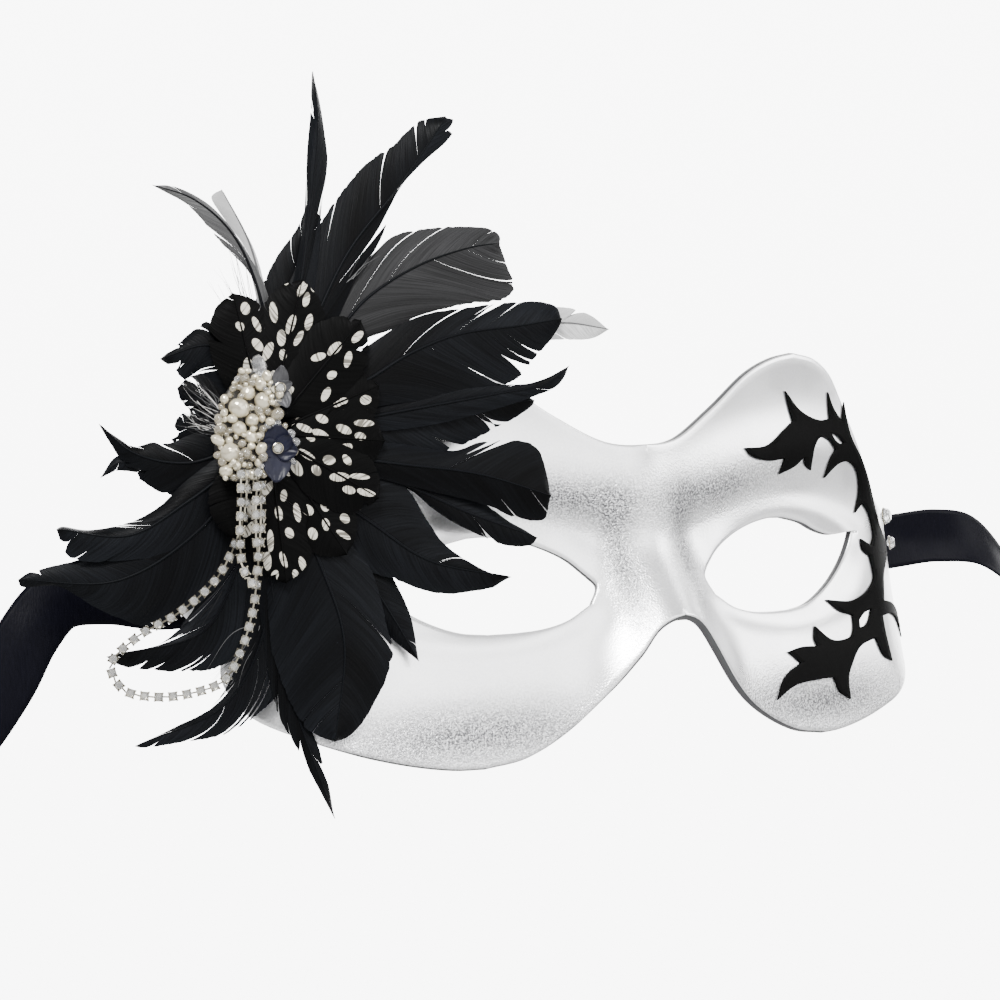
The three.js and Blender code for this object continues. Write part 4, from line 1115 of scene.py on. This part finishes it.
def curved(outline, sharp=58):
    """The outline with its blunt corners drawn as curves and its points kept sharp."""
    p = np.array(outline, float)
    n = len(p)
    turns = []
    for i in range(n):
        a, b = unit(p[i] - p[i - 1]), unit(p[(i + 1) % n] - p[i])
        turns.append(degrees(acos(np.clip(np.dot(a, b), -1, 1))))
    corners = [i for i in range(n) if turns[i] > sharp]
    out = []
    for k, i in enumerate(corners):
        j = corners[(k + 1) % len(corners)]
        run = [p[(i + q) % n] for q in range(((j - i) % n or n) + 1)]
        length = sum(np.linalg.norm(run[q + 1] - run[q]) for q in range(len(run) - 1))
        out.extend(catmull(run, max(2, int(length / 0.5))))
    return np.array(out)


def scroll(name, outline, slot, node):
    """Cut-out laid on the mask: curve with a hole, filled, then wrapped on the surface."""
    curve = bpy.data.curves.new(name, "CURVE")
    curve.dimensions = "2D"
    curve.fill_mode = "BOTH"
    for ring in (curved(outline), curved(slot, 40)):
        s = curve.splines.new("POLY")
        s.points.add(len(ring) - 1)
        for q, p in zip(s.points, ring):
            q.co = (p[0], p[1], 0, 1)
        s.use_cyclic_u = True
    temp = add_object(name + "_flat", curve)
    bpy.context.view_layer.update()
    evaluated = temp.evaluated_get(bpy.context.evaluated_depsgraph_get())
    mesh = bpy.data.meshes.new_from_object(evaluated)
    bpy.data.objects.remove(temp)
    bm = bmesh.new()
    bm.from_mesh(mesh)
    bmesh.ops.remove_doubles(bm, verts=bm.verts, dist=1e-4)
    for _ in range(4):
        long = [e for e in bm.edges if e.calc_length() > 1.6 and len(e.link_faces) == 2]
        if not long:
            break
        bmesh.ops.subdivide_edges(bm, edges=long, cuts=1)
        bmesh.ops.triangulate(bm, faces=bm.faces)
    co = [v.co.copy() for v in bm.verts]
    bm.verts.index_update()
    tris = [[v.index for v in f.verts] for f in bm.faces]
    edges = [(e.verts[0].index, e.verts[1].index) for e in bm.edges if len(e.link_faces) == 1]
    bm.free()
    xs, zs = np.array([c.x for c in co]), np.array([c.y for c in co])
    border = {i for e in edges for i in e}
    lows = skin(xs, zs, np.full(len(xs), 0.05))
    highs = skin(xs, zs, np.array([0.42 if i in border else 0.55 for i in range(len(xs))]))
    count = len(co)
    verts = list(lows) + list(highs)
    faces = []
    for t in tris:
        faces += [[count + i for i in t], t[::-1]]
    for a, b in edges:
        faces.append((a, b, count + b, count + a))
    obj = make(name, verts, faces, [TRIM], smooth=False)
    bm = bmesh.new()
    bm.from_mesh(obj.data)
    bmesh.ops.recalc_face_normals(bm, faces=bm.faces)
    bm.to_mesh(obj.data)
    bm.free()
    return place(obj, "black", node)


scroll("scroll_upper_cut", UPPER, UPPER_SLOT, "scroll_upper")
scroll("scroll_lower_cut", LOWER, LOWER_SLOT, "scroll_lower")

for name, x, z, r in (("upper", 78.8, 10.9, 1.8), ("lower", 84.2, 5, 1.4)):
    at = skin(x, z, 0.3)[0]
    out = unit(skin(x, z, 1.3)[0] - at)
    m = Mesher()
    m.add(*gem(at + out * r * 0.6, out, r, r * 0.8, 10), mat=0)
    m.add(*torus(at + out * r * 0.45, out, r * 0.98, 0.22, 24), mat=1)
    place(m.build(f"temple_stone_{name}", [STONE, CUP], smooth=False), "crystal", f"temple_crystal_{name}")

# ---- stage
FLOOR_RADIUS, FLOOR_LEVEL, FLOOR_SIDES = 1700, -262, 60
ring = [(*(polar(6 * k, FLOOR_RADIUS)), FLOOR_LEVEL) for k in range(FLOOR_SIDES)]
floor = make("floor", ring, [tuple(range(FLOOR_SIDES))], [Look("floor_pale", (0.52,) * 3, 0.7).mat])


def lamp(name, spot, aim, size, power):
    data = bpy.data.lights.new(name, "AREA")
    data.size = size
    data.energy = power
    obj = add_object(name, data)
    obj.location = spot
    obj.rotation_euler = (Vector(aim) - Vector(spot)).to_track_quat("-Z", "Y").to_euler()


lamp("key", (-0.75, -0.8, 0.9), (-0.02, 0, 0.02), 0.4, 34)
lamp("fill", (0.9, -0.5, 0.35), (0.03, 0, 0.02), 0.6, 8)

# Soft room: paler above than below, with a bright wall behind the mask and a panel in front.
world = bpy.data.worlds.new("studio")
bpy.context.scene.world = world
world.use_nodes = True
sky = Nodes(world.node_tree)
direction = sky.new("ShaderNodeTexCoord").outputs["Generated"]


def glow(axis, start, end, low, high):
    """Light that grows towards a direction, between two cosines to it."""
    dot = sky.new("ShaderNodeVectorMath", operation="DOT_PRODUCT")
    dot.inputs[1].default_value = axis
    sky.link(direction, dot.inputs[0])
    return sky.remap(dot.outputs["Value"], start, end, low, high, interpolation_type="SMOOTHSTEP")


height = glow((0, 0, 1), -0.35, 0.6, 0.15, 1.2)
wall = glow((0.58, 0.81, 0.05), 0.6, 0.97, 0.0, 8.0)
panel = glow((0.12, -0.98, 0.14), 0.80, 0.99, 0.0, 4.0)
background = sky.tree.nodes["Background"].inputs
sky.link(sky.math("ADD", panel, sky.math("ADD", height, wall)), background["Strength"])
background["Color"].default_value = (1, 1, 1, 1)

# ---- camera
az, el, roll = (radians(d) for d in (-35.65, -2.645, -5.42))
look = Vector((-sin(az) * cos(el), cos(az) * cos(el), -sin(el)))
right = Vector((cos(az), sin(az), 0))
up = right.cross(look)
right, up = right * cos(roll) + up * sin(roll), up * cos(roll) - right * sin(roll)
data = bpy.data.cameras.new("photo_view")
data.sensor_width = 36
data.lens = 36 * 4.0099
data.clip_end = 20
camera = add_object("photo_view", data)
stand = Vector((-37.55, 2.45, 18.83)) * MM - look * 0.8177
camera.matrix_world = Matrix.Translation(stand) @ Matrix((right, up, -look)).transposed().to_4x4()
bpy.context.scene.camera = camera
